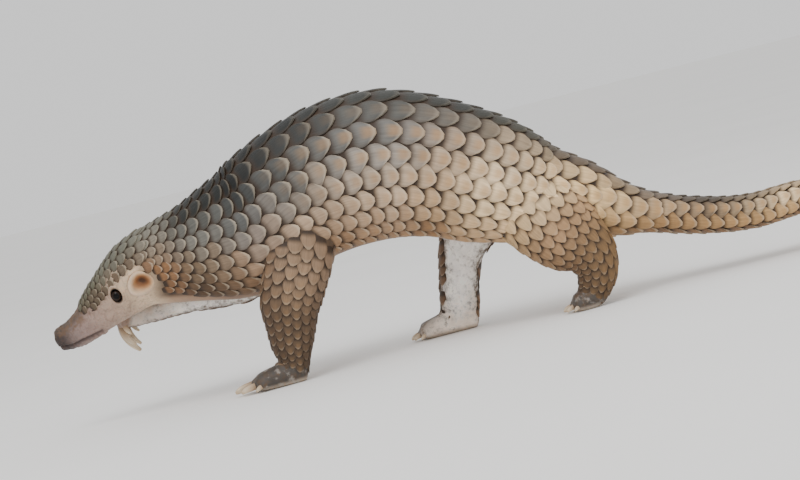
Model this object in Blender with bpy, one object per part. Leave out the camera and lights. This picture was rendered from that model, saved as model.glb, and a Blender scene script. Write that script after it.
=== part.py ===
"""A life-size pangolin standing on three feet with its tail tip on the floor, as a still museum model.

The flesh is swept along named stations, the scales are wedges set on it with their roots sunk in, and
the whole is parted with thin cuts into head, neck, shoulders, torso, hips, tail and legs. Eyes, ears and
claws sit in pockets. The nose points to -X, the tail to +X, the floor is z = 0.
"""

import math
import random

import bmesh
import bpy
from mathutils import Matrix, Vector
from mathutils.bvhtree import BVHTree

MM = 0.001
OBJECT_NAME = "pangolin"
SEED = 11

# The stations are measured from a point on the floor under the shoulder, and this shift in mm brings
# the floor point under the middle of the whole animal to the origin.
ORIGIN_SHIFT = Vector((-276.5, -12.8, 0.0))

# Clearance between nodes that meet, in mm.
GAP = 0.3

# Shares of a node's triangles kept when the union's slivers are collapsed, tried in turn.
KEPT_SHARES = (0.63, 0.66, 0.69, 0.72, 0.75, 0.78, 0.81, 0.84, 0.88, 0.92)

# Steps between the sections of the flesh, in mm.
HEAD_STEP = 6.0
BODY_STEP = 20.0
LEG_STEP = 12.0

# Scales, in mm: how far the free tip stands off the skin, how deep the root and the keel are sunk.
TIP_RISE = 3.0
EDGE_RISE = 0.5
ROOT_SINK = 2.0
KEEL_SINK = 6.0
ROOT_BACK = 0.35
TRUNK_LINES = 4
TAIL_LINES = 3
TRUNK_PITCH = 0.95
TAIL_PITCH = 1.15
SMALLEST_PITCH = 15.5
PLATE_WIDTH = 1.2
TRUNK_COVER = 124.0
NECK_COVER = 118.0
MARGIN_LINE = 2
MARGIN_RISE = 1.2
TAIL_RISE = 0.9
CROWN_PITCH = 15.0
CROWN_TIP_RISE = 2.2
CROWN_COVER = 62.0
NAPE_COVER = 74.0
LEG_PITCH = 19.0
LEG_TIP_RISE = 2.3
LEG_MIDDLE = 90.0
LIFTED_MIDDLE = 118.0

# Trunk stations in mm: name, centre x, y, z, half width, height above and depth below the centre
# line, squareness of the section.
TRUNK = (
    ("nose", -158.2, 0, 75.2, 4.2, 4.6, 4.6, 2.0),
    ("nose_pad", -155.8, 0, 75.6, 6.6, 7.8, 7.8, 2.1),
    ("snout", -150.3, 0, 76.6, 8.0, 9.6, 9.6, 2.2),
    ("lip", -142.2, 0, 77.8, 9.2, 11.4, 12.4, 2.2),
    ("muzzle", -130.0, 0, 83.2, 12.2, 13.8, 14.4, 2.2),
    ("cheek", -117.5, 0, 91.6, 15.8, 17.6, 18.4, 2.2),
    ("eye", -101.6, 0, 100.8, 19.6, 22.0, 23.2, 2.2),
    ("ear", -82.8, 0, 111.3, 23.6, 27.2, 28.4, 2.2),
    ("nape", -59.2, 0, 114.8, 28.5, 33.2, 34.0, 2.2),
    ("neck", -35.4, 0, 116.2, 34.0, 38.8, 39.6, 2.2),
    ("neck_base", -11.3, 0, 118.4, 40.0, 47.0, 47.0, 2.2),
    ("shoulder_front", 20.7, 0, 122.6, 45.5, 56.0, 52.0, 2.2),
    ("shoulder", 59.0, 0, 140.2, 49.0, 56.2, 57.0, 2.3),
    ("chest", 93.1, 0, 148.1, 51.0, 58.7, 59.5, 2.3),
    ("back", 132.2, 0, 147.6, 52.0, 58.8, 59.8, 2.3),
    ("loin", 172.2, 0, 134.3, 51.0, 54.8, 55.6, 2.3),
    ("hip_front", 210.0, 0, 112.7, 49.0, 52.1, 50.0, 2.3),
    ("hip", 245.1, 0, 91.5, 45.0, 43.5, 36.0, 2.3),
    ("rump", 277.2, 0, 81.3, 38.0, 31.8, 29.0, 2.3),
    ("tail_root", 303.8, 0, 68.8, 30.0, 21.5, 22.0, 2.3),
    ("tail_1", 328.6, 0, 59.2, 26.0, 15.2, 15.5, 2.3),
    ("tail_2", 366.8, 0, 47.0, 23.0, 13.6, 13.8, 2.4),
    ("tail_3", 407.1, 0, 40.1, 21.0, 12.8, 13.0, 2.4),
    ("tail_4", 449.1, 0, 41.5, 19.2, 12.2, 12.2, 2.4),
    ("tail_5", 489.0, 1, 37.5, 18.0, 11.4, 11.4, 2.4),
    ("tail_6", 529.0, 4, 29.0, 17.0, 10.6, 10.6, 2.4),
    ("tail_7", 567.0, 10, 19.8, 16.0, 9.6, 9.6, 2.4),
    ("tail_8", 603.0, 19, 12.6, 14.6, 8.6, 8.6, 2.4),
    ("tail_9", 636.0, 31, 9.2, 13.0, 7.4, 8.0, 2.4),
    ("tail_10", 666.0, 46, 7.8, 11.0, 6.2, 6.6, 2.3),
    ("tail_11", 690.0, 63, 6.4, 8.5, 4.8, 5.4, 2.2),
    ("tail_12", 703.0, 76, 5.4, 5.5, 3.6, 4.2, 2.1),
    ("tail_end", 709.0, 84, 5.0, 2.5, 2.0, 3.0, 2.0),
)

# Leg stations in mm: centre x, y, z, half thickness across the body, depth behind and in front.
LEGS = {
    "foreleg_left": (
        (56, -28, 117, 18, 27, 26),
        (50, -34, 97, 17.5, 27, 25),
        (41, -39, 77, 16.5, 25.5, 24),
        (34.5, -41, 60, 15.0, 23, 24),
        (31.5, -42, 45, 13.8, 19, 20.5),
        (28.5, -43, 29, 12.5, 15.5, 17),
        (27, -43, 17, 11.5, 11.5, 12.5),
        (24.5, -44, 8, 11.0, 10.5, 11.5),
    ),
    "foreleg_right": (
        (43, 30, 105, 16, 20, 20),
        (18.5, 41, 89.5, 14.5, 16, 16),
        (-3.5, 46, 77.5, 12.0, 12.5, 12.5),
        (-25.5, 43, 77, 11.0, 11, 11),
        (-47.5, 36, 78.5, 10.5, 10, 10.5),
        (-65.5, 31, 78.5, 9.8, 9.4, 9.4),
        (-81.5, 27, 77.5, 9.4, 8.8, 8.8),
        (-93.5, 25, 78, 8.0, 7.4, 7.4),
    ),
    "hindleg_left": (
        (236, -26, 92, 21, 35, 35),
        (245, -33, 76, 20, 33, 33),
        (258, -38, 57, 18, 30, 28),
        (270, -41, 41, 15.0, 23, 19),
        (273, -42, 27, 12.5, 16.5, 16),
        (268.5, -42, 15, 11.5, 12.5, 13.5),
        (263, -42, 7, 9.5, 9.5, 10.5),
    ),
    "hindleg_right": (
        (196, 24, 99, 19, 30, 30),
        (185, 32, 80, 17.5, 24, 24),
        (175.5, 36, 64, 15.5, 19, 19),
        (168.5, 38, 43, 14.0, 16, 16.5),
        (163.5, 39, 22, 13.0, 16, 16.5),
        (162, 39, 9, 12.0, 14, 14),
    ),
}

# Feet in mm: heel, middle and toe ends of the sole's centre line with half width and half height at each.
FEET = {
    "foreleg_left": ((33, -43, 6.0, 8.5, 6.5), (15, -44.5, 8.2, 13.0, 9.2), (-4, -46, 6.8, 13.5, 7.4)),
    "foreleg_right": ((-83.5, 27, 77.5, 8.5, 8.0), (-96.0, 26.5, 77, 10.5, 8.4), (-108.0, 28, 78, 9.0, 6.5)),
    "hindleg_left": ((274, -42, 17, 9.0, 9.5), (265, -42.5, 8.6, 11.5, 9.6), (251, -43, 6.2, 12.0, 7.4)),
    "hindleg_right": ((174, 38, 7.0, 9.5, 7.5), (153, 38.5, 8.8, 12.5, 9.6), (129, 38, 6.6, 12.5, 7.2)),
}

# Claws per foot in mm: sideways place, setback, length, thickness at the root.
FORE_CLAWS = (
    (-11.0, 5.0, 9.5, 2.0),
    (-6.2, 1.2, 19.0, 2.8),
    (0.0, 0.0, 23.0, 3.4),
    (6.2, 1.4, 18.0, 2.8),
    (11.0, 5.2, 9.0, 2.0),
)
HIND_CLAWS = (
    (-9.4, 4.4, 8.0, 1.8),
    (-4.9, 1.0, 10.5, 2.1),
    (0.0, 0.0, 11.5, 2.2),
    (4.9, 1.0, 10.0, 2.1),
    (9.4, 4.4, 7.5, 1.8),
)
CLAWS_CLEAR_OF_FLOOR = 0.5
LIFTED = "foreleg_right"

EYE_AT = (-99.1, 99.5)
EYE_RADIUS = 5.0
EYE_SINK = 1.7
LID_RADII = (9.0, 7.4, 5.0)
LID_SINK = 2.6
OPENING_RADII = (5.6, 3.9, 3.4)
OPENING_RISE = 2.4
EAR_AT = (-76.9, 105.0)
EAR_RADII = Vector((8.4, 6.6, 4.6))
EAR_LIFT = 0.6
EAR_CUP_SHARE = 0.78
EAR_CUP_RISE = 3.6
EAR_CUP_FORWARD = 0.8
MOUTH = ((-155.5, 69.8), (-144.0, 69.3), (-131.9, 71.9), (-118.8, 74.8))
UPPER_LIP_RISE = 1.3
LOWER_LIP_DROP = 1.9
NOSTRIL_AT = (-157.4, 3.1, 76.1)
NOSTRIL_RADII = (1.5, 1.1, 1.7)

# The block under z = 0 that trims soles and tail to flats: centre and size in mm.
FLOOR_BLOCK_AT = (270.0, 20.0, -15.0)
FLOOR_BLOCK = (1000.0, 300.0, 30.0, 1.0)

# Where the thin cuts pass, in mm: name, centre x, y, z, direction of the cut's normal, half width and
# half height of the disc.
CUTS = (
    ("head_neck", (-69.0, 0, 114.0), (1.0, 0, 0.25), 40.0, 42.0),
    ("neck_shoulders", (-10.5, 0, 120.5), (1.0, 0, 0.09), 50.0, 60.0),
    ("shoulders_torso", (84.0, 0, 146.5), (1.0, 0, 0.12), 64.0, 74.0),
    ("torso_hips", (171.0, 0, 131.5), (0.93, 0, -0.36), 64.0, 68.0),
    ("hips_tail", (298.5, 0, 71.5), (1.0, 0, -0.41), 40.0, 38.0),
    ("tail_base_fore", (372.0, 0, 45.5), (1.0, 0, -0.20), 32.0, 29.0),
    ("tail_fore_middle", (462.0, 0, 40.5), (1.0, 0, -0.05), 29.0, 29.0),
    ("tail_middle_tip", (567.0, 10, 19.8), (0.95, 0.2, -0.22), 24.0, 24.0),
    ("foreleg_left", (39.0, -40, 69.0), (-0.22, 0, 0.97), 34.0, 44.0),
    ("foreleg_right", (-11.0, 45, 77.3), (1.0, -0.12, 0.05), 17.0, 17.0),
    ("hindleg_left", (262.0, -40, 45.5), (0.11, 0, 0.99), 38.0, 45.0),
    ("hindleg_right", (176.0, 37, 61.0), (0.14, 0, 0.98), 28.0, 28.0),
)

# A point inside each node that the cuts part, in mm.
HOMES = {
    "head": (-97, 0, 101),
    "neck": (-37, 0, 115),
    "shoulders": (40, 0, 130),
    "torso": (132, 0, 146),
    "hips": (240, 0, 95),
    "tail_base": (335, 0, 56),
    "tail_fore": (420, 0, 40),
    "tail_middle": (510, 2.5, 33),
    "tail_tip": (636, 31, 9),
    "foreleg_left": (30, -42, 40),
    "foreleg_right": (-47, 36, 78),
    "hindleg_left": (270, -42, 30),
    "hindleg_right": (165, 39, 35),
}

COLOURS = {
    "head": (0.34, 0.28, 0.22),
    "neck": (0.20, 0.18, 0.15),
    "shoulders": (0.28, 0.23, 0.18),
    "torso": (0.33, 0.26, 0.19),
    "hips": (0.36, 0.28, 0.20),
    "tail_base": (0.36, 0.28, 0.20),
    "tail_fore": (0.35, 0.27, 0.19),
    "tail_middle": (0.34, 0.27, 0.19),
    "tail_tip": (0.32, 0.25, 0.18),
    "foreleg_left": (0.22, 0.16, 0.12),
    "foreleg_right": (0.42, 0.34, 0.29),
    "hindleg_left": (0.24, 0.17, 0.12),
    "hindleg_right": (0.48, 0.40, 0.34),
    "ear": (0.46, 0.33, 0.28),
    "eye": (0.02, 0.014, 0.012),
    "claw": (0.58, 0.50, 0.40),
}


class Sweep:
    """A tube along stations of centre, half width, height above, depth below and squareness."""

    def __init__(self, rows):
        self.rows = [tuple(float(v) for v in row) for row in rows]
        self.places = [0.0]
        for before, after in zip(self.rows, self.rows[1:]):
            step = (Vector(after[:3]) - Vector(before[:3])).length
            self.places.append(self.places[-1] + step)
        self.length = self.places[-1]
        self.slopes = [self._slope(i) for i in range(len(self.rows))]

    def _slope(self, i):
        before = max(i - 1, 0)
        after = min(i + 1, len(self.rows) - 1)
        span = self.places[after] - self.places[before]
        return [(b - a) / span for a, b in zip(self.rows[before], self.rows[after])]

    def values(self, s):
        """The station's values at the distance s along the sweep, on a smooth curve through the rows."""
        s = min(max(s, 0.0), self.length)
        i = 0
        while i < len(self.places) - 2 and self.places[i + 1] < s:
            i += 1
        span = self.places[i + 1] - self.places[i]
        t = (s - self.places[i]) / span
        h00 = (1 + 2 * t) * (1 - t) ** 2
        h10 = t * (1 - t) ** 2 * span
        h01 = t * t * (3 - 2 * t)
        h11 = t * t * (t - 1) * span
        return [
            h00 * a + h10 * ma + h01 * b + h11 * mb
            for a, ma, b, mb in zip(self.rows[i], self.slopes[i], self.rows[i + 1], self.slopes[i + 1])
        ]

    def frame(self, s):
        """Centre, direction, sideways and upward directions, then the section's sizes at s."""
        values = self.values(s)
        ahead = Vector(self.values(s + 1.5)[:3])
        behind = Vector(self.values(s - 1.5)[:3])
        along = (ahead - behind).normalized()
        side = (Vector((0, 1, 0)) - along * along.y).normalized()
        return Vector(values[:3]), along, side, along.cross(side), values[3:]

    def point(self, s, angle, height=0.0):
        """The surface point at s, with angle 0 on top and growing to +Y, raised by height."""
        centre, along, side, up, (width, above, below, square) = self.frame(s)
        power = 2.0 / square
        across = math.copysign(abs(math.sin(angle)) ** power, math.sin(angle))
        rise = math.copysign(abs(math.cos(angle)) ** power, math.cos(angle))
        reach = above if rise > 0 else below
        return centre + side * (width + height) * across + up * (reach + height) * rise

    def around(self, s, steps=48):
        """Angles from 0 to half a turn with the girth run from the top to each."""
        table = [(0.0, 0.0)]
        before = self.point(s, 0.0)
        for k in range(1, steps + 1):
            angle = math.pi * k / steps
            here = self.point(s, angle)
            table.append((angle, table[-1][1] + (here - before).length))
            before = here
        return table

    def outside(self, p, samples=60):
        """How far p lies outside the tube in mm, negative inside."""
        best = 1e9
        for k in range(samples + 1):
            centre, along, side, up, (width, above, below, square) = self.frame(self.length * k / samples)
            d = p - centre
            if abs(d.dot(along)) > self.length / samples + 1.0:
                continue
            v = d.dot(up)
            reach = above if v > 0 else below
            ratio = (abs(d.dot(side) / width) ** square + abs(v / reach) ** square) ** (1 / square)
            best = min(best, (ratio - 1) * min(width, reach))
        return best


def angle_at(table, run):
    """The angle whose girth from the top is run."""
    for (a0, r0), (a1, r1) in zip(table, table[1:]):
        if run <= r1:
            return a0 + (a1 - a0) * (run - r0) / (r1 - r0)
    return math.pi


def collection(name, hidden=False):
    made = bpy.data.collections.new(name)
    bpy.context.scene.collection.children.link(made)
    made.hide_render = hidden
    return made


def object_from(bm, name, home, wire=False):
    """Turns a bmesh in mm into an object in metres, shifted to the origin, in the collection home."""
    bmesh.ops.translate(bm, verts=bm.verts, vec=ORIGIN_SHIFT)
    bmesh.ops.scale(bm, verts=bm.verts, vec=(MM, MM, MM))
    bmesh.ops.recalc_face_normals(bm, faces=bm.faces)
    mesh = bpy.data.meshes.new(name)
    bm.to_mesh(mesh)
    bm.free()
    made = bpy.data.objects.new(name, mesh)
    home.objects.link(made)
    if wire:
        made.hide_render = True
        made.display_type = "WIRE"
    return made


def loft(sweep, places, around, grow=0.0):
    """A closed skin over the sweep's sections at the given places, with a point at each end."""
    bm = bmesh.new()
    rings = []
    for s in places:
        rings.append([bm.verts.new(sweep.point(s, 2 * math.pi * k / around, grow)) for k in range(around)])
    for lower, upper in zip(rings, rings[1:]):
        for k in range(around):
            following = (k + 1) % around
            bm.faces.new((lower[k], lower[following], upper[following], upper[k]))
    for ring, s, sign in ((rings[0], places[0], -1), (rings[-1], places[-1], 1)):
        centre, along, side, up, (width, above, below, square) = sweep.frame(s)
        tip = bm.verts.new(centre + along * sign * 0.35 * min(width, above))
        for k in range(around):
            bm.faces.new((ring[k], ring[(k + 1) % around], tip))
    return bm


def spread(length, step):
    count = max(2, round(length / step))
    return [length * k / count for k in range(count + 1)]


def hull_of(points):
    bm = bmesh.new()
    for p in points:
        bm.verts.new(p)
    found = bmesh.ops.convex_hull(bm, input=bm.verts)
    inside = [v for v in found["geom_interior"] if isinstance(v, bmesh.types.BMVert)]
    bmesh.ops.delete(bm, geom=inside, context="VERTS")
    return bm


def ellipsoid(centre, radii, turn, segments, rings):
    bm = bmesh.new()
    bmesh.ops.create_uvsphere(bm, u_segments=segments, v_segments=rings, radius=1.0)
    place = Matrix.Translation(centre) @ turn.to_4x4() @ Matrix.Diagonal((*radii, 1.0))
    bmesh.ops.transform(bm, matrix=place, verts=bm.verts)
    return bm


def scale_wedge(sweep, s, angle, pitch, width, rise):
    """One scale: a sunk root, two shoulders, a keel under it and a free tip that points along the sweep."""
    arc = (sweep.point(s, angle + 0.05) - sweep.point(s, angle - 0.05)).length / 0.1
    turn = 0.5 * width / max(arc, 1.0)
    points = [
        sweep.point(s - ROOT_BACK * pitch, angle, -ROOT_SINK),
        sweep.point(s + 0.05 * pitch, angle - turn, EDGE_RISE),
        sweep.point(s + 0.05 * pitch, angle + turn, EDGE_RISE),
        sweep.point(s + 0.25 * pitch, angle, -KEEL_SINK * min(1.0, pitch / 16.0)),
    ]
    points.append(sweep.point(s + pitch, angle, rise))
    return hull_of(points)


class Coat:
    """Lays scales on sweeps and keeps where each stands."""

    def __init__(self, home):
        self.home = home
        self.random = random.Random(SEED)
        self.count = 0

    def lay(self, sweep, s, angle, pitch, width, rise=TIP_RISE):
        pitch *= self.random.uniform(0.96, 1.06)
        width *= self.random.uniform(0.95, 1.05)
        angle += self.random.uniform(-0.012, 0.012)
        rise *= self.random.uniform(0.92, 1.08)
        bm = scale_wedge(sweep, s, angle, pitch, width, rise)
        object_from(bm, f"scale_{self.count:04d}", self.home)
        self.count += 1


def trunk_scales(coat, trunk, named, legs):
    """Lines of scales from the nape to the tail root, each line set half a pitch off its neighbours."""
    s = named["nape"] - 14.0
    ring = 0
    while s < named["tail_root"] - 4.0:
        table = trunk.around(s)
        limit = math.radians(NECK_COVER if s < named["neck_base"] else TRUNK_COVER)
        reach = next(run for angle, run in table if angle >= limit)
        spacing = reach / TRUNK_LINES
        pitch = max(SMALLEST_PITCH, spacing * TRUNK_PITCH)
        for line in range(-TRUNK_LINES, TRUNK_LINES + 1):
            if (line + ring) % 2:
                continue
            angle = math.copysign(angle_at(table, abs(line) * spacing), line)
            place = trunk.point(s, angle)
            if any(leg.outside(place) < 1.0 for leg in legs.values()):
                continue
            coat.lay(trunk, s, angle, pitch, PLATE_WIDTH * spacing)
        s += 0.5 * pitch
        ring += 1


def tail_scales(coat, trunk, named):
    """Lines of scales right round the tail, with the two margins standing out further."""
    s = named["tail_root"] + 4.0
    ring = 0
    while s < trunk.length - 9.0:
        table = trunk.around(s)
        spacing = table[-1][1] / TAIL_LINES
        pitch = max(SMALLEST_PITCH, spacing * TAIL_PITCH)
        for line in range(1 - TAIL_LINES, TAIL_LINES + 1):
            if (line + ring) % 2:
                continue
            angle = math.copysign(angle_at(table, abs(line) * spacing), line)
            rise = TIP_RISE * (MARGIN_RISE if abs(line) == MARGIN_LINE else TAIL_RISE)
            coat.lay(trunk, s, angle, pitch, PLATE_WIDTH * spacing, rise)
        s += 0.5 * pitch
        ring += 1


def crown_scales(coat, trunk, named):
    """Small scales on the crown, from between the eyes to the nape and clear of eyes and ears."""
    s = named["eye"] - 12.0
    ring = 0
    while s < named["nape"] - 16.0:
        table = trunk.around(s)
        cover = math.radians(CROWN_COVER if s < named["ear"] - 6 else NAPE_COVER)
        for line in range(-2, 3):
            if (line + ring) % 2:
                continue
            angle = angle_at(table, abs(line) * CROWN_PITCH)
            if angle > cover:
                continue
            angle = math.copysign(angle, line)
            coat.lay(trunk, s, angle, CROWN_PITCH, PLATE_WIDTH * CROWN_PITCH, CROWN_TIP_RISE)
        s += 0.5 * CROWN_PITCH
        ring += 1


def leg_scales(coat, legs, trunk):
    """Scales down the outer face and the front of each leg, from where it leaves the trunk to the foot."""
    for name, leg in legs.items():
        outward = -1 if name.endswith("left") else 1
        middle = math.radians(LIFTED_MIDDLE if name == LIFTED else LEG_MIDDLE)
        s = 4.0
        ring = 0
        while s < leg.length - 6.0:
            table = leg.around(s)
            for line in range(-2, 3):
                if (line + ring) % 2:
                    continue
                run = angle_run(table, middle) + line * LEG_PITCH
                if run < 0 or run > table[-1][1]:
                    continue
                angle = outward * angle_at(table, run)
                if trunk.outside(leg.point(s, angle)) < 1.5:
                    continue
                coat.lay(leg, s, angle, LEG_PITCH, PLATE_WIDTH * LEG_PITCH, LEG_TIP_RISE)
            s += 0.5 * LEG_PITCH
            ring += 1


def angle_run(table, angle):
    """The girth from the top to the angle."""
    for (a0, r0), (a1, r1) in zip(table, table[1:]):
        if angle <= a1:
            return r0 + (r1 - r0) * (angle - a0) / (a1 - a0)
    return table[-1][1]


def surface_spot(trunk, x, z, side):
    """Place s and angle where the trunk's side passes the point x, z seen from the side."""
    best = None
    for k in range(241):
        s = trunk.length * 0.35 * k / 240
        centre, along, _, up, sizes = trunk.frame(s)
        off = Vector((x, 0, z)) - Vector((centre.x, 0, centre.z))
        if best is None or abs(off.dot(along)) < best[0]:
            best = (abs(off.dot(along)), s, off.dot(up))
    _, s, rise = best
    width, above, below, square = trunk.frame(s)[4]
    share = min(0.98, abs(rise) / (above if rise > 0 else below))
    lean = math.acos(share ** (square / 2.0))
    angle = lean if rise > 0 else math.pi - lean
    return s, side * angle


def outward_turn(trunk, s, angle):
    """A rotation whose Z stands off the skin at the spot and whose X runs tailward along it."""
    out = (trunk.point(s, angle, 5.0) - trunk.point(s, angle)).normalized()
    along = trunk.point(s + 2.0, angle) - trunk.point(s - 2.0, angle)
    along = (along - out * along.dot(out)).normalized()
    return Matrix((along, out.cross(along), out)).transposed()


def line_on(trunk, ends, side, height, radius, count, around=8):
    """A thin tube laid along the trunk's side through points given as x, z."""
    rows = []
    for k in range(count + 1):
        share = k / count * (len(ends) - 1)
        i = min(int(share), len(ends) - 2)
        t = share - i
        x = ends[i][0] * (1 - t) + ends[i + 1][0] * t
        z = ends[i][1] * (1 - t) + ends[i + 1][1] * t
        s, angle = surface_spot(trunk, x, z, side)
        p = trunk.point(s, angle, height)
        taper = radius * (0.45 if k in (0, count) else 1.0)
        rows.append((*p, taper, taper, taper, 2.0))
    tube = Sweep(rows)
    return loft(tube, spread(tube.length, tube.length / count), around)


def claw_sweep(root, forward, down, length, thickness):
    """A claw that leaves the root forward and hooks down, tapering to a blunt point."""
    rows = []
    count = 5
    for k in range(count + 1):
        t = k / count
        bend = math.radians(12 + 58 * t)
        reach = length * t
        p = root + forward * reach * math.cos(bend * 0.62) + down * reach * math.sin(bend * 0.62)
        size = thickness * (1.0 - 0.80 * t ** 1.5)
        rows.append((*p, size * 0.86, size, size, 2.0))
    return Sweep(rows)


def foot_parts(name, pieces, pockets, parts_home):
    """Foot, toes and claws of one leg; the claws come back as separate objects in pockets of the toes."""
    heel, middle, toe = FEET[name]
    rows = [(x, y, z, w, h, h, 2.3) for x, y, z, w, h in (heel, middle, toe)]
    sweep = Sweep(rows)
    object_from(loft(sweep, spread(sweep.length, 8.0), 12), f"foot_{name}", pieces)
    end, along, side, _, _ = sweep.frame(sweep.length)
    kind = "fore" if name.startswith("fore") else "hind"
    claws = FORE_CLAWS if kind == "fore" else HIND_CLAWS
    lifted = name == LIFTED
    made = []
    for number, (offset, back, length, thickness) in enumerate(claws, start=1):
        if name.endswith("right"):
            offset = -offset
        fan = 0.02 * offset
        forward = (along + side * fan).normalized()
        toe_at = end + side * offset - along * (back + 1.5)
        down = Vector((0, 0, -1))
        if lifted:
            forward = Vector((-0.2, 0.02 * offset, -0.8)).normalized()
            down = Vector((0.85, 0, -0.45)).normalized()
        toe_radius = thickness + 2.0
        if not lifted:
            toe_at.z = toe_radius + 1.6
        object_from(
            ellipsoid(toe_at + forward * 2.0, (toe_radius * 1.5, toe_radius, toe_radius),
                      forward.to_track_quat("X", "Z").to_matrix(), 8, 5),
            f"toe_{name}_{number}", pieces)
        root = toe_at + forward * (toe_radius * 0.9)
        claw = claw_sweep(root, forward, down, length, thickness)
        if not lifted:
            lowest = min(claw.point(claw.length * k / 8, math.pi, 0.0).z for k in range(9))
            lowest = min(lowest, *(claw.point(claw.length * k / 8, 0.0, 0.0).z for k in range(9)))
            if lowest < CLAWS_CLEAR_OF_FLOOR:
                squash = (root.z - thickness - CLAWS_CLEAR_OF_FLOOR) / max(root.z - thickness - lowest, 0.1)
                squash = max(0.0, squash)
                rows = [(r[0], r[1], root.z + (r[2] - root.z) * squash, *r[3:]) for r in claw.rows]
                claw = Sweep(rows)
        label = f"claw_{kind}_{name.split('_')[1]}_{number}"
        places = spread(claw.length, claw.length / 4)
        made.append(object_from(loft(claw, places, 6), label, parts_home))
        object_from(loft(claw, places, 6, GAP), f"pocket_{label}", pockets, wire=True)
    return made


def boolean(target, operand, operation):
    modifier = target.modifiers.new(operation.lower(), "BOOLEAN")
    modifier.operation = operation
    modifier.operand_type = "COLLECTION"
    modifier.collection = operand
    modifier.solver = "MANIFOLD"
    bpy.context.view_layer.objects.active = target
    bpy.ops.object.modifier_apply(modifier=modifier.name)


def clear(home):
    for made in list(home.objects):
        bpy.data.objects.remove(made)


def islands(mesh):
    """The closed surfaces of a mesh as lists of face indices, largest volume first."""
    parent = list(range(len(mesh.vertices)))

    def find(i):
        while parent[i] != i:
            parent[i] = parent[parent[i]]
            i = parent[i]
        return i

    for edge in mesh.edges:
        a, b = find(edge.vertices[0]), find(edge.vertices[1])
        if a != b:
            parent[a] = b
    groups = {}
    for polygon in mesh.polygons:
        groups.setdefault(find(polygon.vertices[0]), []).append(polygon.index)
    return list(groups.values())


def inside(tree, p):
    """Whether p lies inside the closed surface, by the faces that a ray crosses."""
    direction = Vector((0.577, 0.211, 0.789)).normalized()
    start = p.copy()
    crossed = 0
    while True:
        hit = tree.ray_cast(start, direction)
        if hit[0] is None:
            return crossed % 2 == 1
        crossed += 1
        start = hit[0] + direction * 1e-6


def part_nodes(whole, homes, home):
    """Splits the cut body into nodes: for each home point, the closed surface round it."""
    mesh = whole.data
    found = {}
    for faces in islands(mesh):
        if len(faces) < 40:
            continue
        used = sorted({v for f in faces for v in mesh.polygons[f].vertices})
        index = {v: i for i, v in enumerate(used)}
        points = [mesh.vertices[v].co.copy() for v in used]
        polygons = [[index[v] for v in mesh.polygons[f].vertices] for f in faces]
        tree = BVHTree.FromPolygons(points, polygons)
        for name, place in homes.items():
            if name not in found and inside(tree, (Vector(place) + ORIGIN_SHIFT) * MM):
                node_mesh = bpy.data.meshes.new(name)
                node_mesh.from_pydata(points, [], polygons)
                made = bpy.data.objects.new(name, node_mesh)
                home.objects.link(made)
                found[name] = made
                break
    missing = set(homes) - set(found)
    if missing:
        raise ValueError(f"no surface round {sorted(missing)}")
    return found


def largest_only(made):
    """Keeps the largest closed surface of an object."""
    groups = islands(made.data)
    if len(groups) == 1:
        return
    keep = set(max(groups, key=len))
    bm = bmesh.new()
    bm.from_mesh(made.data)
    bm.faces.ensure_lookup_table()
    bmesh.ops.delete(bm, geom=[f for f in bm.faces if f.index not in keep], context="FACES")
    bm.to_mesh(made.data)
    bm.free()


def closed(mesh):
    """Whether every edge of the mesh lies between two faces."""
    bm = bmesh.new()
    bm.from_mesh(mesh)
    sound = all(len(edge.link_faces) == 2 for edge in bm.edges)
    sound = sound and all(vert.is_manifold for vert in bm.verts)
    bm.free()
    return sound


def simplify(made):
    """Collapses the slivers that the union leaves, as far as the surface stays closed."""
    before = made.data.copy()
    for share in KEPT_SHARES:
        modifier = made.modifiers.new("simplify", "DECIMATE")
        modifier.ratio = share
        bpy.context.view_layer.objects.active = made
        bpy.ops.object.modifier_apply(modifier=modifier.name)
        if closed(made.data):
            break
        made.data = before.copy()


def finish_node(made):
    """Material and shading: round places smooth, scale edges sharp."""
    key = made.name if made.name in COLOURS else made.name.split("_")[0]
    material = bpy.data.materials.new(made.name)
    material.use_nodes = True
    shader = material.node_tree.nodes["Principled BSDF"]
    shader.inputs["Base Color"].default_value = (*COLOURS[key], 1.0)
    shader.inputs["Roughness"].default_value = 0.15 if key == "eye" else 0.6
    made.data.materials.clear()
    made.data.materials.append(material)
    for polygon in made.data.polygons:
        polygon.use_smooth = True
    made.data.set_sharp_from_angle(angle=math.radians(32))


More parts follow.
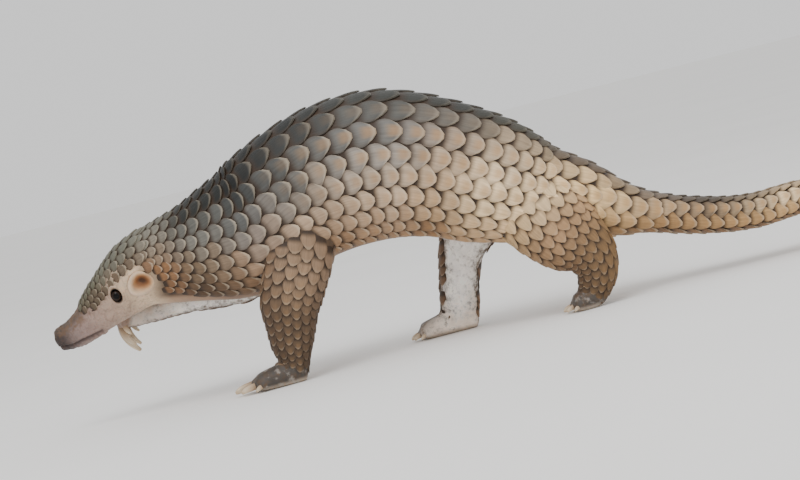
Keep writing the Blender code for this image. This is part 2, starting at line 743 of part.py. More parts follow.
def head_forms(trunk, pieces, cuts, parts_home):
    """Lids, eyes, ears, lips, mouth line and nostrils; eyes and ears come back as objects of their own."""
    made = []
    for side, word in ((-1, "left"), (1, "right")):
        s, angle = surface_spot(trunk, *EYE_AT, side)
        turn = outward_turn(trunk, s, angle)
        centre = trunk.point(s, angle, -EYE_SINK)
        lid = ellipsoid(trunk.point(s, angle, -LID_SINK), LID_RADII, turn, 14, 8)
        object_from(lid, f"lids_{word}", pieces)
        opening = ellipsoid(trunk.point(s, angle, OPENING_RISE), OPENING_RADII, turn, 12, 6)
        object_from(opening, f"opening_{word}", cuts, wire=True)
        socket = ellipsoid(centre, (EYE_RADIUS + GAP,) * 3, turn, 14, 8)
        object_from(socket, f"socket_{word}", cuts, wire=True)
        made.append(object_from(ellipsoid(centre, (EYE_RADIUS,) * 3, turn, 14, 8), f"eye_{word}", parts_home))
        s, angle = surface_spot(trunk, *EAR_AT, side)
        turn = outward_turn(trunk, s, angle)
        spot = trunk.point(s, angle, EAR_LIFT)
        ear = object_from(ellipsoid(spot, EAR_RADII, turn, 14, 8), f"ear_{word}", parts_home)
        seat = ellipsoid(spot, EAR_RADII + Vector((GAP,) * 3), turn, 14, 8)
        object_from(seat, f"seat_{word}", cuts, wire=True)
        hollow = collection(f"hollow_{word}", hidden=True)
        cup_at = spot + turn.col[2] * EAR_CUP_RISE - turn.col[0] * EAR_CUP_FORWARD
        cup = ellipsoid(cup_at, EAR_RADII * EAR_CUP_SHARE, turn, 14, 8)
        object_from(cup, f"cup_{word}", hollow, wire=True)
        boolean(ear, hollow, "DIFFERENCE")
        clear(hollow)
        bpy.data.collections.remove(hollow)
        made.append(ear)
        upper = [(x, z + UPPER_LIP_RISE) for x, z in MOUTH[:-1]]
        object_from(line_on(trunk, upper, side, -0.4, 1.3, 8), f"upper_lip_{word}", pieces)
        lower = [(x, z - LOWER_LIP_DROP) for x, z in MOUTH[:-1]]
        object_from(line_on(trunk, lower, side, -0.5, 1.2, 8), f"lower_lip_{word}", pieces)
        object_from(line_on(trunk, MOUTH, side, 0.2, 0.75, 9, 6), f"mouth_{word}", cuts, wire=True)
        place = Vector((NOSTRIL_AT[0], side * NOSTRIL_AT[1], NOSTRIL_AT[2]))
        nostril = ellipsoid(place, NOSTRIL_RADII, Matrix.Identity(3), 8, 6)
        object_from(nostril, f"nostril_{word}", cuts, wire=True)
    return made


def thin_cut(cuts, name, centre, normal, half_width, half_height):
    """A disc as thick as the gap, across the body."""
    bm = bmesh.new()
    bmesh.ops.create_cone(bm, cap_ends=True, segments=40, radius1=1.0, radius2=1.0, depth=GAP)
    bmesh.ops.scale(bm, verts=bm.verts, vec=(half_width, half_height, 1.0))
    turn = Vector(normal).to_track_quat("Z", "Y").to_matrix().to_4x4()
    bmesh.ops.transform(bm, matrix=Matrix.Translation(centre) @ turn, verts=bm.verts)
    object_from(bm, f"cut_{name}", cuts, wire=True)


def floor_cut(cuts):
    """A block under z = 0 that trims soles and tail to flats at one level."""
    bm = bmesh.new()
    bmesh.ops.create_cube(bm, size=1.0)
    place = Matrix.Translation(FLOOR_BLOCK_AT) @ Matrix.Diagonal(FLOOR_BLOCK)
    bmesh.ops.transform(bm, matrix=place, verts=bm.verts)
    object_from(bm, "cut_floor", cuts, wire=True)


def build():
    for old in list(bpy.data.objects):
        bpy.data.objects.remove(old)
    parts_home = collection(OBJECT_NAME)
    pieces = collection("pieces", hidden=True)
    cuts = collection("cutters", hidden=True)

    trunk = Sweep([row[1:] for row in TRUNK])
    named = {row[0]: place for row, place in zip(TRUNK, trunk.places)}
    legs = {name: Sweep([(*row, 2.2) for row in rows]) for name, rows in LEGS.items()}

    head_places = spread(named["ear"], HEAD_STEP)
    body_places = [named["ear"] + p for p in spread(trunk.length - named["ear"], BODY_STEP)[1:]]
    flesh = object_from(loft(trunk, head_places + body_places, 14, 0.4), "flesh", parts_home)

    for name, leg in legs.items():
        object_from(loft(leg, spread(leg.length, LEG_STEP), 12), f"limb_{name}", pieces)
    coat = Coat(pieces)
    crown_scales(coat, trunk, named)
    trunk_scales(coat, trunk, named, legs)
    tail_scales(coat, trunk, named)
    leg_scales(coat, legs, trunk)

    small = head_forms(trunk, pieces, cuts, parts_home)
    claws = []
    for name in LEGS:
        claws += foot_parts(name, pieces, cuts, parts_home)

    boolean(flesh, pieces, "UNION")
    clear(pieces)
    for name, centre, normal, half_width, half_height in CUTS:
        thin_cut(cuts, name, centre, normal, half_width, half_height)
    boolean(flesh, cuts, "DIFFERENCE")
    clear(cuts)
    floor_cut(cuts)

    nodes = part_nodes(flesh, HOMES, parts_home)
    bpy.data.objects.remove(flesh)
    for made in list(nodes.values()) + small + claws:
        largest_only(made)
        if made.name in nodes:
            simplify(made)
            boolean(made, cuts, "DIFFERENCE")
            largest_only(made)
        finish_node(made)
    bpy.data.collections.remove(pieces)


build()
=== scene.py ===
"""A life-size pangolin as a museum shows it: one bare skin, horn scales, claws, eyes and ears.

The trunk and the legs are swept along the same named stations as the solids. The skin is one closed
surface over all of them, and every scale is laid on it by its place along the body and round it, so the
scales overlap towards the tail and the toes and grow smaller with the girth.
"""

import math

import bmesh
import bpy
import numpy as np
from mathutils import Matrix, Vector, noise
from mathutils.bvhtree import BVHTree


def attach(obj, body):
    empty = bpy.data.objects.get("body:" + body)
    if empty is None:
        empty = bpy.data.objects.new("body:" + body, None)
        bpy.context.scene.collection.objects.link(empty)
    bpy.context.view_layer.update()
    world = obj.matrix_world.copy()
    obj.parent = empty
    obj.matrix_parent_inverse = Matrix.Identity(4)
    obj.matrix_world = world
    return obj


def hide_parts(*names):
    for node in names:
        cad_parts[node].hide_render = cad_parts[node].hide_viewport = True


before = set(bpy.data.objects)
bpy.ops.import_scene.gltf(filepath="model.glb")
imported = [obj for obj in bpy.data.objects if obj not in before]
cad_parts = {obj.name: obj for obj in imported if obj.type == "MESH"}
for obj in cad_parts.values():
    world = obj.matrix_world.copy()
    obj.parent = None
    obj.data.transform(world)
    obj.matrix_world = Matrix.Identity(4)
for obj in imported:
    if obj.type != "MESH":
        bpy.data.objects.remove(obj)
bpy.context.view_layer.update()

MM = 0.001
SEED = 7

# The stations are measured in mm from a point on the floor under the shoulder, and this shift brings
# the floor point under the middle of the whole animal to the origin.
SHIFT = np.array((-276.5, -12.8, 0.0))

# The photograph's view: the ground line's slope in it, how far the camera looks down, and its lens.
SLOPE = math.radians(14.2)
DIP = math.radians(3.0)
LENS = 100.0
SENSOR = 36.0
VIEW_WIDTH = 640.0
VIEW_CENTRE = (129.1, 0.0, 86.2)

# Trunk stations in mm: name, centre x, y, z, half width, height above and depth below the centre
# line, squareness of the section.
TRUNK = (
    ("nose", -158.2, 0, 75.2, 4.2, 4.6, 4.6, 2.0),
    ("nose_pad", -155.8, 0, 75.6, 6.6, 7.8, 7.8, 2.1),
    ("snout", -150.3, 0, 76.6, 8.0, 9.6, 9.6, 2.2),
    ("lip", -142.2, 0, 77.8, 9.2, 11.4, 12.4, 2.2),
    ("muzzle", -130.0, 0, 83.2, 12.2, 13.8, 14.4, 2.2),
    ("cheek", -117.5, 0, 91.6, 15.8, 17.6, 18.4, 2.2),
    ("eye", -101.6, 0, 100.8, 19.6, 22.0, 23.2, 2.2),
    ("ear", -82.8, 0, 111.3, 23.6, 27.2, 28.4, 2.2),
    ("nape", -59.2, 0, 114.8, 28.5, 33.2, 34.0, 2.2),
    ("neck", -35.4, 0, 116.2, 34.0, 38.8, 39.6, 2.2),
    ("neck_base", -11.3, 0, 118.4, 40.0, 47.0, 47.0, 2.2),
    ("shoulder_front", 20.7, 0, 122.6, 45.5, 56.0, 52.0, 2.2),
    ("shoulder", 59.0, 0, 140.2, 49.0, 56.2, 57.0, 2.3),
    ("chest", 93.1, 0, 148.1, 51.0, 58.7, 59.5, 2.3),
    ("back", 132.2, 0, 147.6, 52.0, 58.8, 59.8, 2.3),
    ("loin", 172.2, 0, 134.3, 51.0, 54.8, 55.6, 2.3),
    ("hip_front", 210.0, 0, 112.7, 49.0, 52.1, 50.0, 2.3),
    ("hip", 245.1, 0, 91.5, 45.0, 43.5, 36.0, 2.3),
    ("rump", 277.2, 0, 81.3, 38.0, 31.8, 29.0, 2.3),
    ("tail_root", 303.8, 0, 68.8, 30.0, 21.5, 22.0, 2.3),
    ("tail_1", 328.6, 0, 59.2, 26.0, 15.2, 15.5, 2.3),
    ("tail_2", 366.8, 0, 47.0, 23.0, 13.6, 13.8, 2.4),
    ("tail_3", 407.1, 0, 40.1, 21.0, 12.8, 13.0, 2.4),
    ("tail_4", 449.1, 0, 41.5, 19.2, 12.2, 12.2, 2.4),
    ("tail_5", 489.0, 1, 37.5, 18.0, 11.4, 11.4, 2.4),
    ("tail_6", 529.0, 4, 29.0, 17.0, 10.6, 10.6, 2.4),
    ("tail_7", 567.0, 10, 19.8, 16.0, 9.6, 9.6, 2.4),
    ("tail_8", 603.0, 19, 12.6, 14.6, 8.6, 8.6, 2.4),
    ("tail_9", 636.0, 31, 9.2, 13.0, 7.4, 8.0, 2.4),
    ("tail_10", 666.0, 46, 7.8, 11.0, 6.2, 6.6, 2.3),
    ("tail_11", 690.0, 63, 6.4, 8.5, 4.8, 5.4, 2.2),
    ("tail_12", 703.0, 76, 5.4, 5.5, 3.6, 4.2, 2.1),
    ("tail_end", 709.0, 84, 5.0, 2.5, 2.0, 3.0, 2.0),
)

# Leg stations in mm: centre x, y, z, half thickness across the body, depth behind and in front.
LEGS = {
    "foreleg_left": (
        (56, -28, 117, 18, 27, 26),
        (50, -34, 97, 17.5, 27, 25),
        (41, -39, 77, 16.5, 25.5, 24),
        (34.5, -41, 60, 15.0, 23, 24),
        (31.5, -42, 45, 13.8, 19, 20.5),
        (28.5, -43, 29, 12.5, 15.5, 17),
        (27, -43, 17, 11.5, 11.5, 12.5),
        (24.5, -44, 8, 11.0, 10.5, 11.5),
    ),
    "foreleg_right": (
        (43, 30, 105, 16, 20, 20),
        (18.5, 41, 89.5, 14.5, 16, 16),
        (-3.5, 46, 77.5, 12.0, 12.5, 12.5),
        (-25.5, 43, 77, 11.0, 11, 11),
        (-47.5, 36, 78.5, 10.5, 10, 10.5),
        (-65.5, 31, 78.5, 9.8, 9.4, 9.4),
        (-81.5, 27, 77.5, 9.4, 8.8, 8.8),
        (-93.5, 25, 78, 8.0, 7.4, 7.4),
    ),
    "hindleg_left": (
        (236, -26, 92, 21, 35, 35),
        (245, -33, 76, 20, 33, 33),
        (258, -38, 57, 18, 30, 28),
        (270, -41, 41, 15.0, 23, 19),
        (273, -42, 27, 12.5, 16.5, 16),
        (268.5, -42, 15, 11.5, 12.5, 13.5),
        (263, -42, 7, 9.5, 9.5, 10.5),
    ),
    "hindleg_right": (
        (196, 24, 99, 19, 30, 30),
        (185, 32, 80, 17.5, 24, 24),
        (175.5, 36, 64, 15.5, 19, 19),
        (168.5, 38, 43, 14.0, 16, 16.5),
        (163.5, 39, 22, 13.0, 16, 16.5),
        (162, 39, 9, 12.0, 14, 14),
    ),
}

# Feet in mm: heel, middle and toe ends of the sole's centre line with half width and half height.
FEET = {
    "foreleg_left": ((33, -43, 6.0, 8.5, 6.5), (15, -44.5, 8.2, 13.0, 9.2), (-4, -46, 6.8, 13.5, 7.4)),
    "foreleg_right": ((-83.5, 27, 77.5, 8.5, 8.0), (-96.0, 26.5, 77, 10.5, 8.4), (-108.0, 28, 78, 9.0, 6.5)),
    "hindleg_left": ((274, -42, 17, 9.0, 9.5), (265, -42.5, 8.6, 11.5, 9.6), (251, -43, 6.2, 12.0, 7.4)),
    "hindleg_right": ((174, 38, 7.0, 9.5, 7.5), (153, 38.5, 8.8, 12.5, 9.6), (129, 38, 6.6, 12.5, 7.2)),
}
LIFTED = "foreleg_right"

# Claws per foot in mm: sideways place, setback, length, thickness at the root.
FORE_CLAWS = (
    (-11.0, 5.0, 9.5, 2.0),
    (-6.2, 1.2, 19.0, 2.8),
    (0.0, 0.0, 23.0, 3.4),
    (6.2, 1.4, 18.0, 2.8),
    (11.0, 5.2, 9.0, 2.0),
)
HIND_CLAWS = (
    (-9.4, 4.4, 8.0, 1.8),
    (-4.9, 1.0, 10.5, 2.1),
    (0.0, 0.0, 11.5, 2.2),
    (4.9, 1.0, 10.0, 2.1),
    (9.4, 4.4, 7.5, 1.8),
)

# A claw bends down by the first angle at its root and by both at its point, in degrees, where it has
# lost the share of its thickness.
CLAW_BEND = (12, 58)
CLAW_TAPER = 0.66
# Toes in mm: how far they lie behind the sole's end, how much thicker they are than their claws, how
# high they are held off the floor; and how far they spread for each mm off the middle.
TOE_SETBACK = 1.5
TOE_ROUND = 2.0
TOE_HEIGHT = 1.6
TOE_SPREAD = 0.02

# The raised foot's claws are this many times as thick, and the others stay this far above the floor.
LIFTED_CLAW = 1.15
CLAWS_CLEAR_OF_FLOOR = 0.5

# The head's features in mm: places by x and z as seen from the side, the nostril's by x, y and z.
EYE_AT = (-99.1, 99.5)
EYE_RADIUS = 5.0
EYE_SINK = 1.7
LID_OPENING = (5.1, 3.5)
EAR_AT = (-76.9, 105.0)
EAR_RADII = (9.6, 8.4)
CHEEK_AT = (-86.0, 96.0)
BEHIND_EAR = (-72.0, 101.0)
MOUTH = ((-155.5, 69.8), (-144.0, 69.3), (-131.9, 71.9), (-118.8, 74.8))
NOSTRIL_AT = (-157.4, 3.1, 76.1)

# The head's relief in mm: how high the raised parts stand and how deep the hollows are.
LID_HEIGHT = 1.5
EYE_HOLLOW = 3.4
LID_FOLDS = 0.32
BROW_HEIGHT = 1.0
CHEEK_HEIGHT = 1.3
EAR_RIM = 0.9
EAR_HOLLOW = 3.6
LIP_HEIGHT = 0.65
MOUTH_DEPTH = 1.5
NOSTRIL_RIM = 0.4
NOSTRIL_DEPTH = 2.2
WRINKLES = 0.95
FINE_WRINKLES = 0.22

# Skin, in mm: the size of its net of faces, and how far it lies inside the stations under the scales.
SKIN_MESH = 2.6
TRUNK_INSET = 0.4
LEG_INSET = 0.3
# The tubes under it: the step along each in mm and the points round it.
TRUNK_NET = (2.0, 48)
LEG_NET = (5.0, 28)
SOLE_NET = (4.0, 24)
# The head's faces are divided in front of the first x, in mm, and its marks written in front of the
# second. Its features begin at the third and come in over some mm, on skin no farther than OFF_TRUNK
# from the trunk's surface.
DIVIDED_BEFORE = -66.0
MARKED_BEFORE = -58.0
WORKED_BEFORE = -60.0
WORKED_OVER = 14.0
OFF_TRUNK = 3.0
# The nose's blunt end, in mm along the trunk, stays as the net has it.
NOSE_END = 1.4

# The trunk's sections turn with the centre line's course over this many mm on either side.
TRUNK_BEND = 17.0

# How far round from the mid line of the back the scales reach, in degrees, by place along the trunk.
COVER = (
    ("nape", 126), ("neck", 144), ("neck_base", 146), ("shoulder_front", 150), ("shoulder", 152),
    ("chest", 156), ("loin", 156), ("hip", 156), ("tail_root", 168), ("tail_1", 180),
)
CROWN_COVER = (("muzzle", 46), ("cheek", 82), ("eye", 80), ("ear", 84), ("nape", 122))

# Skin left bare between the scales, in mm round a place on the side of the head.
CROWN_BARE = ((EYE_AT, 9.0), (EAR_AT, 11.6), (CHEEK_AT, 11.0))
BEHIND_EAR_BARE = 11.0

# Lines of scales down each side, and how much wider they are spaced at the back than at the belly.
BODY_LINES = 9
HIP_LINES = 7
ROOT_LINES = 5
TAIL_LINES = 5
LINE_SPREAD = 0.30
# A scale of the body may lie this many mm inside a leg before it is left out.
INSIDE_LEG = 16.0

# The crown's lines counted from the mid line, their space in mm at the snout and at the nape, and the
# pitch along them as a share of it.
CROWN_LINES = (-11, 11)
CROWN_SPACING = (4.9, 8.6)
CROWN_PITCH = 0.92

# Lines of scales on each leg: where the middle one runs, in degrees from the leg's rear or underside,
# the lines counted from it, their space in mm at the body and at the foot, and how far outside the
# trunk a scale has to be.
LEG_LINES = {
    "foreleg_left": (96, (-7, 7), (11.0, 5.9), 0.5),
    "foreleg_right": (112, (-2, 2), (11.0, 5.9), 2.0),
    "hindleg_left": (96, (-7, 7), (11.0, 5.9), -2.5),
    "hindleg_right": (96, (-4, 4), (9.0, 7.0), 0.5),
}
# The share of scales that stay on a leg's last lines towards its bare inner face.
RAGGED_SHARE = 0.75
# How far from a leg's ends its scales begin and end, in mm.
LEG_ENDS = (5.0, 3.0)
# A foot's lines, their space, the pitch as a share of it, and the shares of the sole they lie between.
FOOT_LINES = (-1, 1)
FOOT_SPACING = (6.0, 5.2)
FOOT_PITCH = 0.9
FOOT_ENDS = (0.06, 0.50)

# Scales, in mm and as shares of the pitch along a line and of the space between the lines.
PITCH_SHARE = 0.90
ROOT_BACK = 0.48
SCALE_WIDTH = 1.14
ROOT_WIDTH = 0.66
WIDEST_AT = 0.62
TIP_NARROWING = 0.20
ROOT_HEIGHT = -0.7
TIP_HEIGHT = 1.7
DOME = 1.5
TIP_DROOP = 0.9
EDGE_DROP = 0.9
KEEL_DEPTH = 3.0
KEEL_AT = 0.2
TIP_ROUND = 0.32
TAIL_TIP_ROUND = 0.42
# Scales on narrower lines than this are thinner by the same share.
FULL_THICKNESS_AT = 15.0
# A scale under deeper skin than this is tilted up until only this is left over it, and one under skin of
# the deepest is left out. No point of a scale lies lower than this above the floor.
SKIN_OVER = 0.4
DEEPEST = 10.0
ABOVE_FLOOR = 0.05


def unit(vectors):
    """The same directions at length 1."""
    return vectors / np.linalg.norm(vectors, axis=-1, keepdims=True)


def to_metres(points):
    """Points in the stations' mm as metres in the frame."""
    return (np.asarray(points) + SHIFT) * MM


class Sweep:
    """A tube along stations of centre, half width, height above, depth below and squareness."""

    def __init__(self, rows, step=0.5, bend=1.5):
        self.rows = np.array(rows, float)
        gaps = np.linalg.norm(np.diff(self.rows[:, :3], axis=0), axis=1)
        self.places = np.concatenate(([0.0], np.cumsum(gaps)))
        self.length = self.places[-1]
        low = np.maximum(np.arange(len(self.rows)) - 1, 0)
        high = np.minimum(np.arange(len(self.rows)) + 1, len(self.rows) - 1)
        self.slopes = (self.rows[high] - self.rows[low]) / (self.places[high] - self.places[low])[:, None]
        self.at = np.linspace(0.0, self.length, int(self.length / step) + 2)
        values = self.smooth(self.at)
        # The sections turn with the centre line's course over the bend's length on either side.
        along = unit(self.smooth(self.at + bend)[:, :3] - self.smooth(self.at - bend)[:, :3])
        side = unit(np.array((0.0, 1.0, 0.0)) - along * along[:, 1:2])
        self.frames = np.hstack((values[:, :3], along, side, np.cross(along, side), values[:, 3:]))
        self.turns = np.linspace(0.0, math.pi, 61)
        ring = self.points(self.at[:, None], self.turns[None])
        steps = np.linalg.norm(np.diff(ring, axis=1), axis=2)
        self.runs = np.hstack((np.zeros((len(self.at), 1)), np.cumsum(steps, axis=1)))

    def smooth(self, s):
        """The stations' values at each place, on a smooth curve through them."""
        s = np.clip(s, 0.0, self.length)
        i = np.clip(np.searchsorted(self.places, s) - 1, 0, len(self.places) - 2)
        span = self.places[i + 1] - self.places[i]
        t = ((s - self.places[i]) / span)[:, None]
        span = span[:, None]
        return (
            (1 + 2 * t) * (1 - t) ** 2 * self.rows[i]
            + t * (1 - t) ** 2 * span * self.slopes[i]
            + t * t * (3 - 2 * t) * self.rows[i + 1]
            + t * t * (t - 1) * span * self.slopes[i + 1]
        )

    def read(self, s):
        """At each place: centre, tailward, sideways and upward directions, and the section's values."""
        return np.stack([np.interp(s, self.at, column) for column in self.frames.T], axis=-1)

    def points(self, s, angle, height=0.0):
        """Surface points, with angle 0 on top and growing to +Y, raised by height."""
        s, angle, height = np.broadcast_arrays(np.asarray(s, float), angle, height)
        f = self.read(s)
        power = 2.0 / f[..., 15]
        across = np.copysign(np.abs(np.sin(angle)) ** power, np.sin(angle))
        rise = np.copysign(np.abs(np.cos(angle)) ** power, np.cos(angle))
        reach = np.where(rise > 0, f[..., 13], f[..., 14])
        return (
            f[..., 0:3]
            + f[..., 6:9] * ((f[..., 12] + height) * across)[..., None]
            + f[..., 9:12] * ((reach + height) * rise)[..., None]
        )

    def girth_runs(self, s):
        """The girth run from the top to each of the turns, at one place."""
        k = int(np.clip(np.searchsorted(self.at, s), 0, len(self.at) - 1))
        return self.runs[k]

    def locate(self, points):
        """Place, angle and distance outside the surface of each point."""
        coarse = self.frames[::6, :3]
        s = np.empty(len(points))
        for k in range(0, len(points), 4000):
            gaps = ((points[k:k + 4000, None, :] - coarse[None]) ** 2).sum(-1)
            s[k:k + 4000] = self.at[::6][gaps.argmin(1)]
        for _ in range(2):
            f = self.read(s)
            s = np.clip(s + ((points - f[:, :3]) * f[:, 3:6]).sum(1), 0.0, self.length)
        f = self.read(s)
        away = points - f[:, :3]
        beyond = np.abs((away * f[:, 3:6]).sum(1))
        across = (away * f[:, 6:9]).sum(1) / f[:, 12]
        rise = (away * f[:, 9:12]).sum(1)
        reach = np.where(rise > 0, f[:, 13], f[:, 14])
        rise = rise / reach
        square = f[:, 15]
        ratio = (np.abs(across) ** square + np.abs(rise) ** square) ** (1 / square) + 1e-9
        angle = np.arctan2(
            np.sign(across) * (np.abs(across) / ratio) ** (square / 2),
            np.sign(rise) * (np.abs(rise) / ratio) ** (square / 2),
        )
        return s, angle, (ratio - 1) * np.minimum(f[:, 12], reach) + beyond

    def spot(self, x, z, side):
        """Place and angle where the surface passes x, z seen from the side, in the front third."""
        f = self.frames[self.at < 0.35 * self.length]
        off = np.stack((x - f[:, 0], z - f[:, 2]), axis=1)
        k = np.abs(off[:, 0] * f[:, 3] + off[:, 1] * f[:, 5]).argmin()
        rise = off[k, 0] * f[k, 9] + off[k, 1] * f[k, 11]
        share = min(0.98, abs(rise) / (f[k, 13] if rise > 0 else f[k, 14]))
        lean = math.acos(share ** (f[k, 15] / 2.0))
        return self.at[k], side * (lean if rise > 0 else math.pi - lean)

    def skin_frame(self, s, angle):
        """Point, tailward, sideways and outward directions on the surface."""
        p = self.points(s, angle)
        out = unit(self.points(s, angle, 5.0) - p)
        along = self.points(s + 2.0, angle) - self.points(s - 2.0, angle)
        along = unit(along - out * (along * out).sum())
        return p, along, np.cross(out, along), out


trunk = Sweep([row[1:] for row in TRUNK], bend=TRUNK_BEND)
named = {row[0]: place for row, place in zip(TRUNK, trunk.places)}
legs = {name: Sweep([(*row, 2.2) for row in rows]) for name, rows in LEGS.items()}
soles = {name: Sweep([(x, y, z, w, h, h, 2.3) for x, y, z, w, h in rows]) for name, rows in FEET.items()}
rng = np.random.default_rng(SEED)

# Where the scales of the head, the body, the rump and the tail begin and end along the trunk.
CROWN_START = named["muzzle"] + 4.0
CROWN_END = named["nape"] - 12.0
RUMP_START = named["rump"] + 8.0
RUMP_END = named["tail_1"] - 4.0
TAIL_START = named["tail_1"] - 6.0
TAIL_END = trunk.length - 5.0


def outward(name):
    """The side of the body that a leg's outer face looks to."""
    return 1.0 if name.endswith("right") else -1.0


def mesh_piece(name, points, faces):
    """A closed mesh object from points in mm, with its faces turned outwards."""
    mesh = bpy.data.meshes.new(name)
    mesh.from_pydata([tuple(p) for p in to_metres(points)], [], [tuple(int(i) for i in f) for f in faces])
    bm = bmesh.new()
    bm.from_mesh(mesh)
    bmesh.ops.recalc_face_normals(bm, faces=bm.faces)
    bm.to_mesh(mesh)
    bm.free()
    piece = bpy.data.objects.new(name, mesh)
    bpy.context.scene.collection.objects.link(piece)
    return piece


def finish_piece(piece, material, nodes, sharp=60):
    """Gives a piece its material and shading, and says what it rides on and stands for."""
    piece.data.materials.clear()
    piece.data.materials.append(material)
    for polygon in piece.data.polygons:
        polygon.use_smooth = True
    piece.data.set_sharp_from_angle(angle=math.radians(sharp))
    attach(piece, "root")
    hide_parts(*nodes)


def mark(piece, name, values, kind="FLOAT_VECTOR", key="vector"):
    """Writes values for each point of a piece, which its material reads by name."""
    attribute = piece.data.attributes.new(name, kind, "POINT")
    attribute.data.foreach_set(key, np.asarray(values, np.float32).ravel())


def ring_faces(rings, around):
    """Faces between rings of points, closed by a fan to one more point at each end."""
    faces = []
    for i in range(rings - 1):
        for k in range(around):
            after = (k + 1) % around
            faces.append((i * around + k, i * around + after, (i + 1) * around + after, (i + 1) * around + k))
    last = (rings - 1) * around
    tip = rings * around
    for k in range(around):
        after = (k + 1) % around
        faces.append((after, k, tip))
        faces.append((last + k, last + after, tip + 1))
    return faces


def tube(sweep, step, around, grow=0.0):
    """Points and faces of a closed tube over the sweep's sections."""
    places = np.linspace(0.0, sweep.length, max(3, round(sweep.length / step) + 1))
    angles = 2 * math.pi * np.arange(around) / around
    rings = sweep.points(places[:, None], angles[None], grow).reshape(-1, 3)
    ends = []
    for s, sign in ((0.0, -1), (sweep.length, 1)):
        f = sweep.read(s)
        ends.append(f[:3] + f[3:6] * sign * 0.35 * min(f[12], f[13]))
    return np.vstack((rings, ends)), ring_faces(len(places), around)


def lobe(centre, radii, turn, segments=20, rings=12):
    """Points and faces of a closed rounded lump."""
    points = [np.array((0, 0, 1.0))]
    for j in range(1, rings):
        lean = math.pi * j / rings
        for k in range(segments):
            swing = 2 * math.pi * k / segments
            flat = math.sin(lean)
            points.append(np.array((flat * math.cos(swing), flat * math.sin(swing), math.cos(lean))))
    points.append(np.array((0, 0, -1.0)))
    faces = []
    base = 1 + (rings - 2) * segments
    for k in range(segments):
        after = (k + 1) % segments
        faces.append((0, 1 + k, 1 + after))
        faces.append((len(points) - 1, base + after, base + k))
        for j in range(rings - 2):
            a = 1 + j * segments
            faces.append((a + k, a + segments + k, a + segments + after, a + after))
    return np.array(points) * radii @ np.array(turn).T + centre, faces


def claw_sweep(root, forward, down, length, thickness):
    """A claw that leaves the root forward and hooks down, tapering to a blunt point."""
    rows = []
    for k in range(6):
        t = k / 5
        bend = math.radians(CLAW_BEND[0] + CLAW_BEND[1] * t)
        p = root + forward * length * t * math.cos(bend * 0.62) + down * length * t * math.sin(bend * 0.62)
        size = thickness * (1.0 - CLAW_TAPER * t ** 2.4)
        rows.append((*p, size * 0.86, size, size, 2.0))
    return rows


def toes(name):
    """For each toe of a foot: its place, direction and radius, and the rows of its claw."""
    f = soles[name].read(soles[name].length)
    end, along, side = f[:3], f[3:6], f[6:9]
    found = []
    for offset, back, length, thickness in FORE_CLAWS if name.startswith("fore") else HIND_CLAWS:
        if name.endswith("right"):
            offset = -offset
        forward = unit(along + side * TOE_SPREAD * offset)
        place = end + side * offset - along * (back + TOE_SETBACK)
        down = np.array((0.0, 0.0, -1.0))
        radius = thickness + TOE_ROUND
        if name == LIFTED:
            forward = unit(np.array((-0.2, TOE_SPREAD * offset, -0.8)))
            down = unit(np.array((0.85, 0.0, -0.45)))
            thickness *= LIFTED_CLAW
        else:
            place[2] = radius + TOE_HEIGHT
        root = place + forward * (radius * 0.9)
        rows = claw_sweep(root, forward, down, length, thickness)
        lowest = min(row[2] - row[5] for row in rows)
        if name != LIFTED and lowest < CLAWS_CLEAR_OF_FLOOR:
            room = root[2] - thickness
            squash = max(0.0, (room - CLAWS_CLEAR_OF_FLOOR) / max(room - lowest, 0.1))
            rows = [(r[0], r[1], root[2] + (r[2] - root[2]) * squash, *r[3:]) for r in rows]
        found.append((place, forward, radius, rows))
    return found


def look_along(direction):
    """The turn that brings +X into a direction."""
    return np.array(Vector(direction).to_track_quat("X", "Z").to_matrix())


def apply_modifier(piece, kind, **settings):
    """Adds a modifier to a piece and works it into the mesh."""
    made = piece.modifiers.new(kind.lower(), kind)
    for key, value in settings.items():
        setattr(made, key, value)
    bpy.ops.object.modifier_apply(modifier=made.name)


def raw_skin():
    """One closed net over trunk, legs, feet and toes, a little inside the stations where scales cover it."""
    points, faces = [], []

    def take(part):
        start = sum(len(p) for p in points)
        points.append(part[0])
        faces.extend(tuple(i + start for i in face) for face in part[1])

    take(tube(trunk, *TRUNK_NET, -TRUNK_INSET))
    for name, leg in legs.items():
        take(tube(leg, *LEG_NET, -LEG_INSET))
        take(tube(soles[name], *SOLE_NET))
        for place, forward, radius, _ in toes(name):
            take(lobe(place + forward * 2.0, np.array((radius * 1.5, radius, radius)), look_along(forward)))
    piece = mesh_piece("skin", np.vstack(points), faces)
    bpy.ops.object.select_all(action="DESELECT")
    bpy.context.view_layer.objects.active = piece
    piece.select_set(True)
    apply_modifier(piece, "REMESH", mode="VOXEL", voxel_size=SKIN_MESH * MM)
    apply_modifier(piece, "SMOOTH", factor=0.5, iterations=5)
    points = mesh_points(piece.data)
    points[:, 2] = np.maximum(points[:, 2], 0.0)
    set_points(piece.data, points)
    return piece


def mesh_points(mesh):
    """A mesh's points in mm."""
    flat = np.empty(len(mesh.vertices) * 3, np.float32)
    mesh.vertices.foreach_get("co", flat)
    return flat.reshape(-1, 3).astype(float) / MM - SHIFT


def set_points(mesh, points):
    """Moves a mesh's points to places in mm."""
    mesh.vertices.foreach_set("co", to_metres(points).astype(np.float32).ravel())
    mesh.update()


def bump(distance, width):
    """1 at no distance, fading to nothing over about twice the width."""
    return np.exp(-(distance / width) ** 2)


def length_of(vectors):
    """The length of each row."""
    return np.linalg.norm(vectors, axis=1)


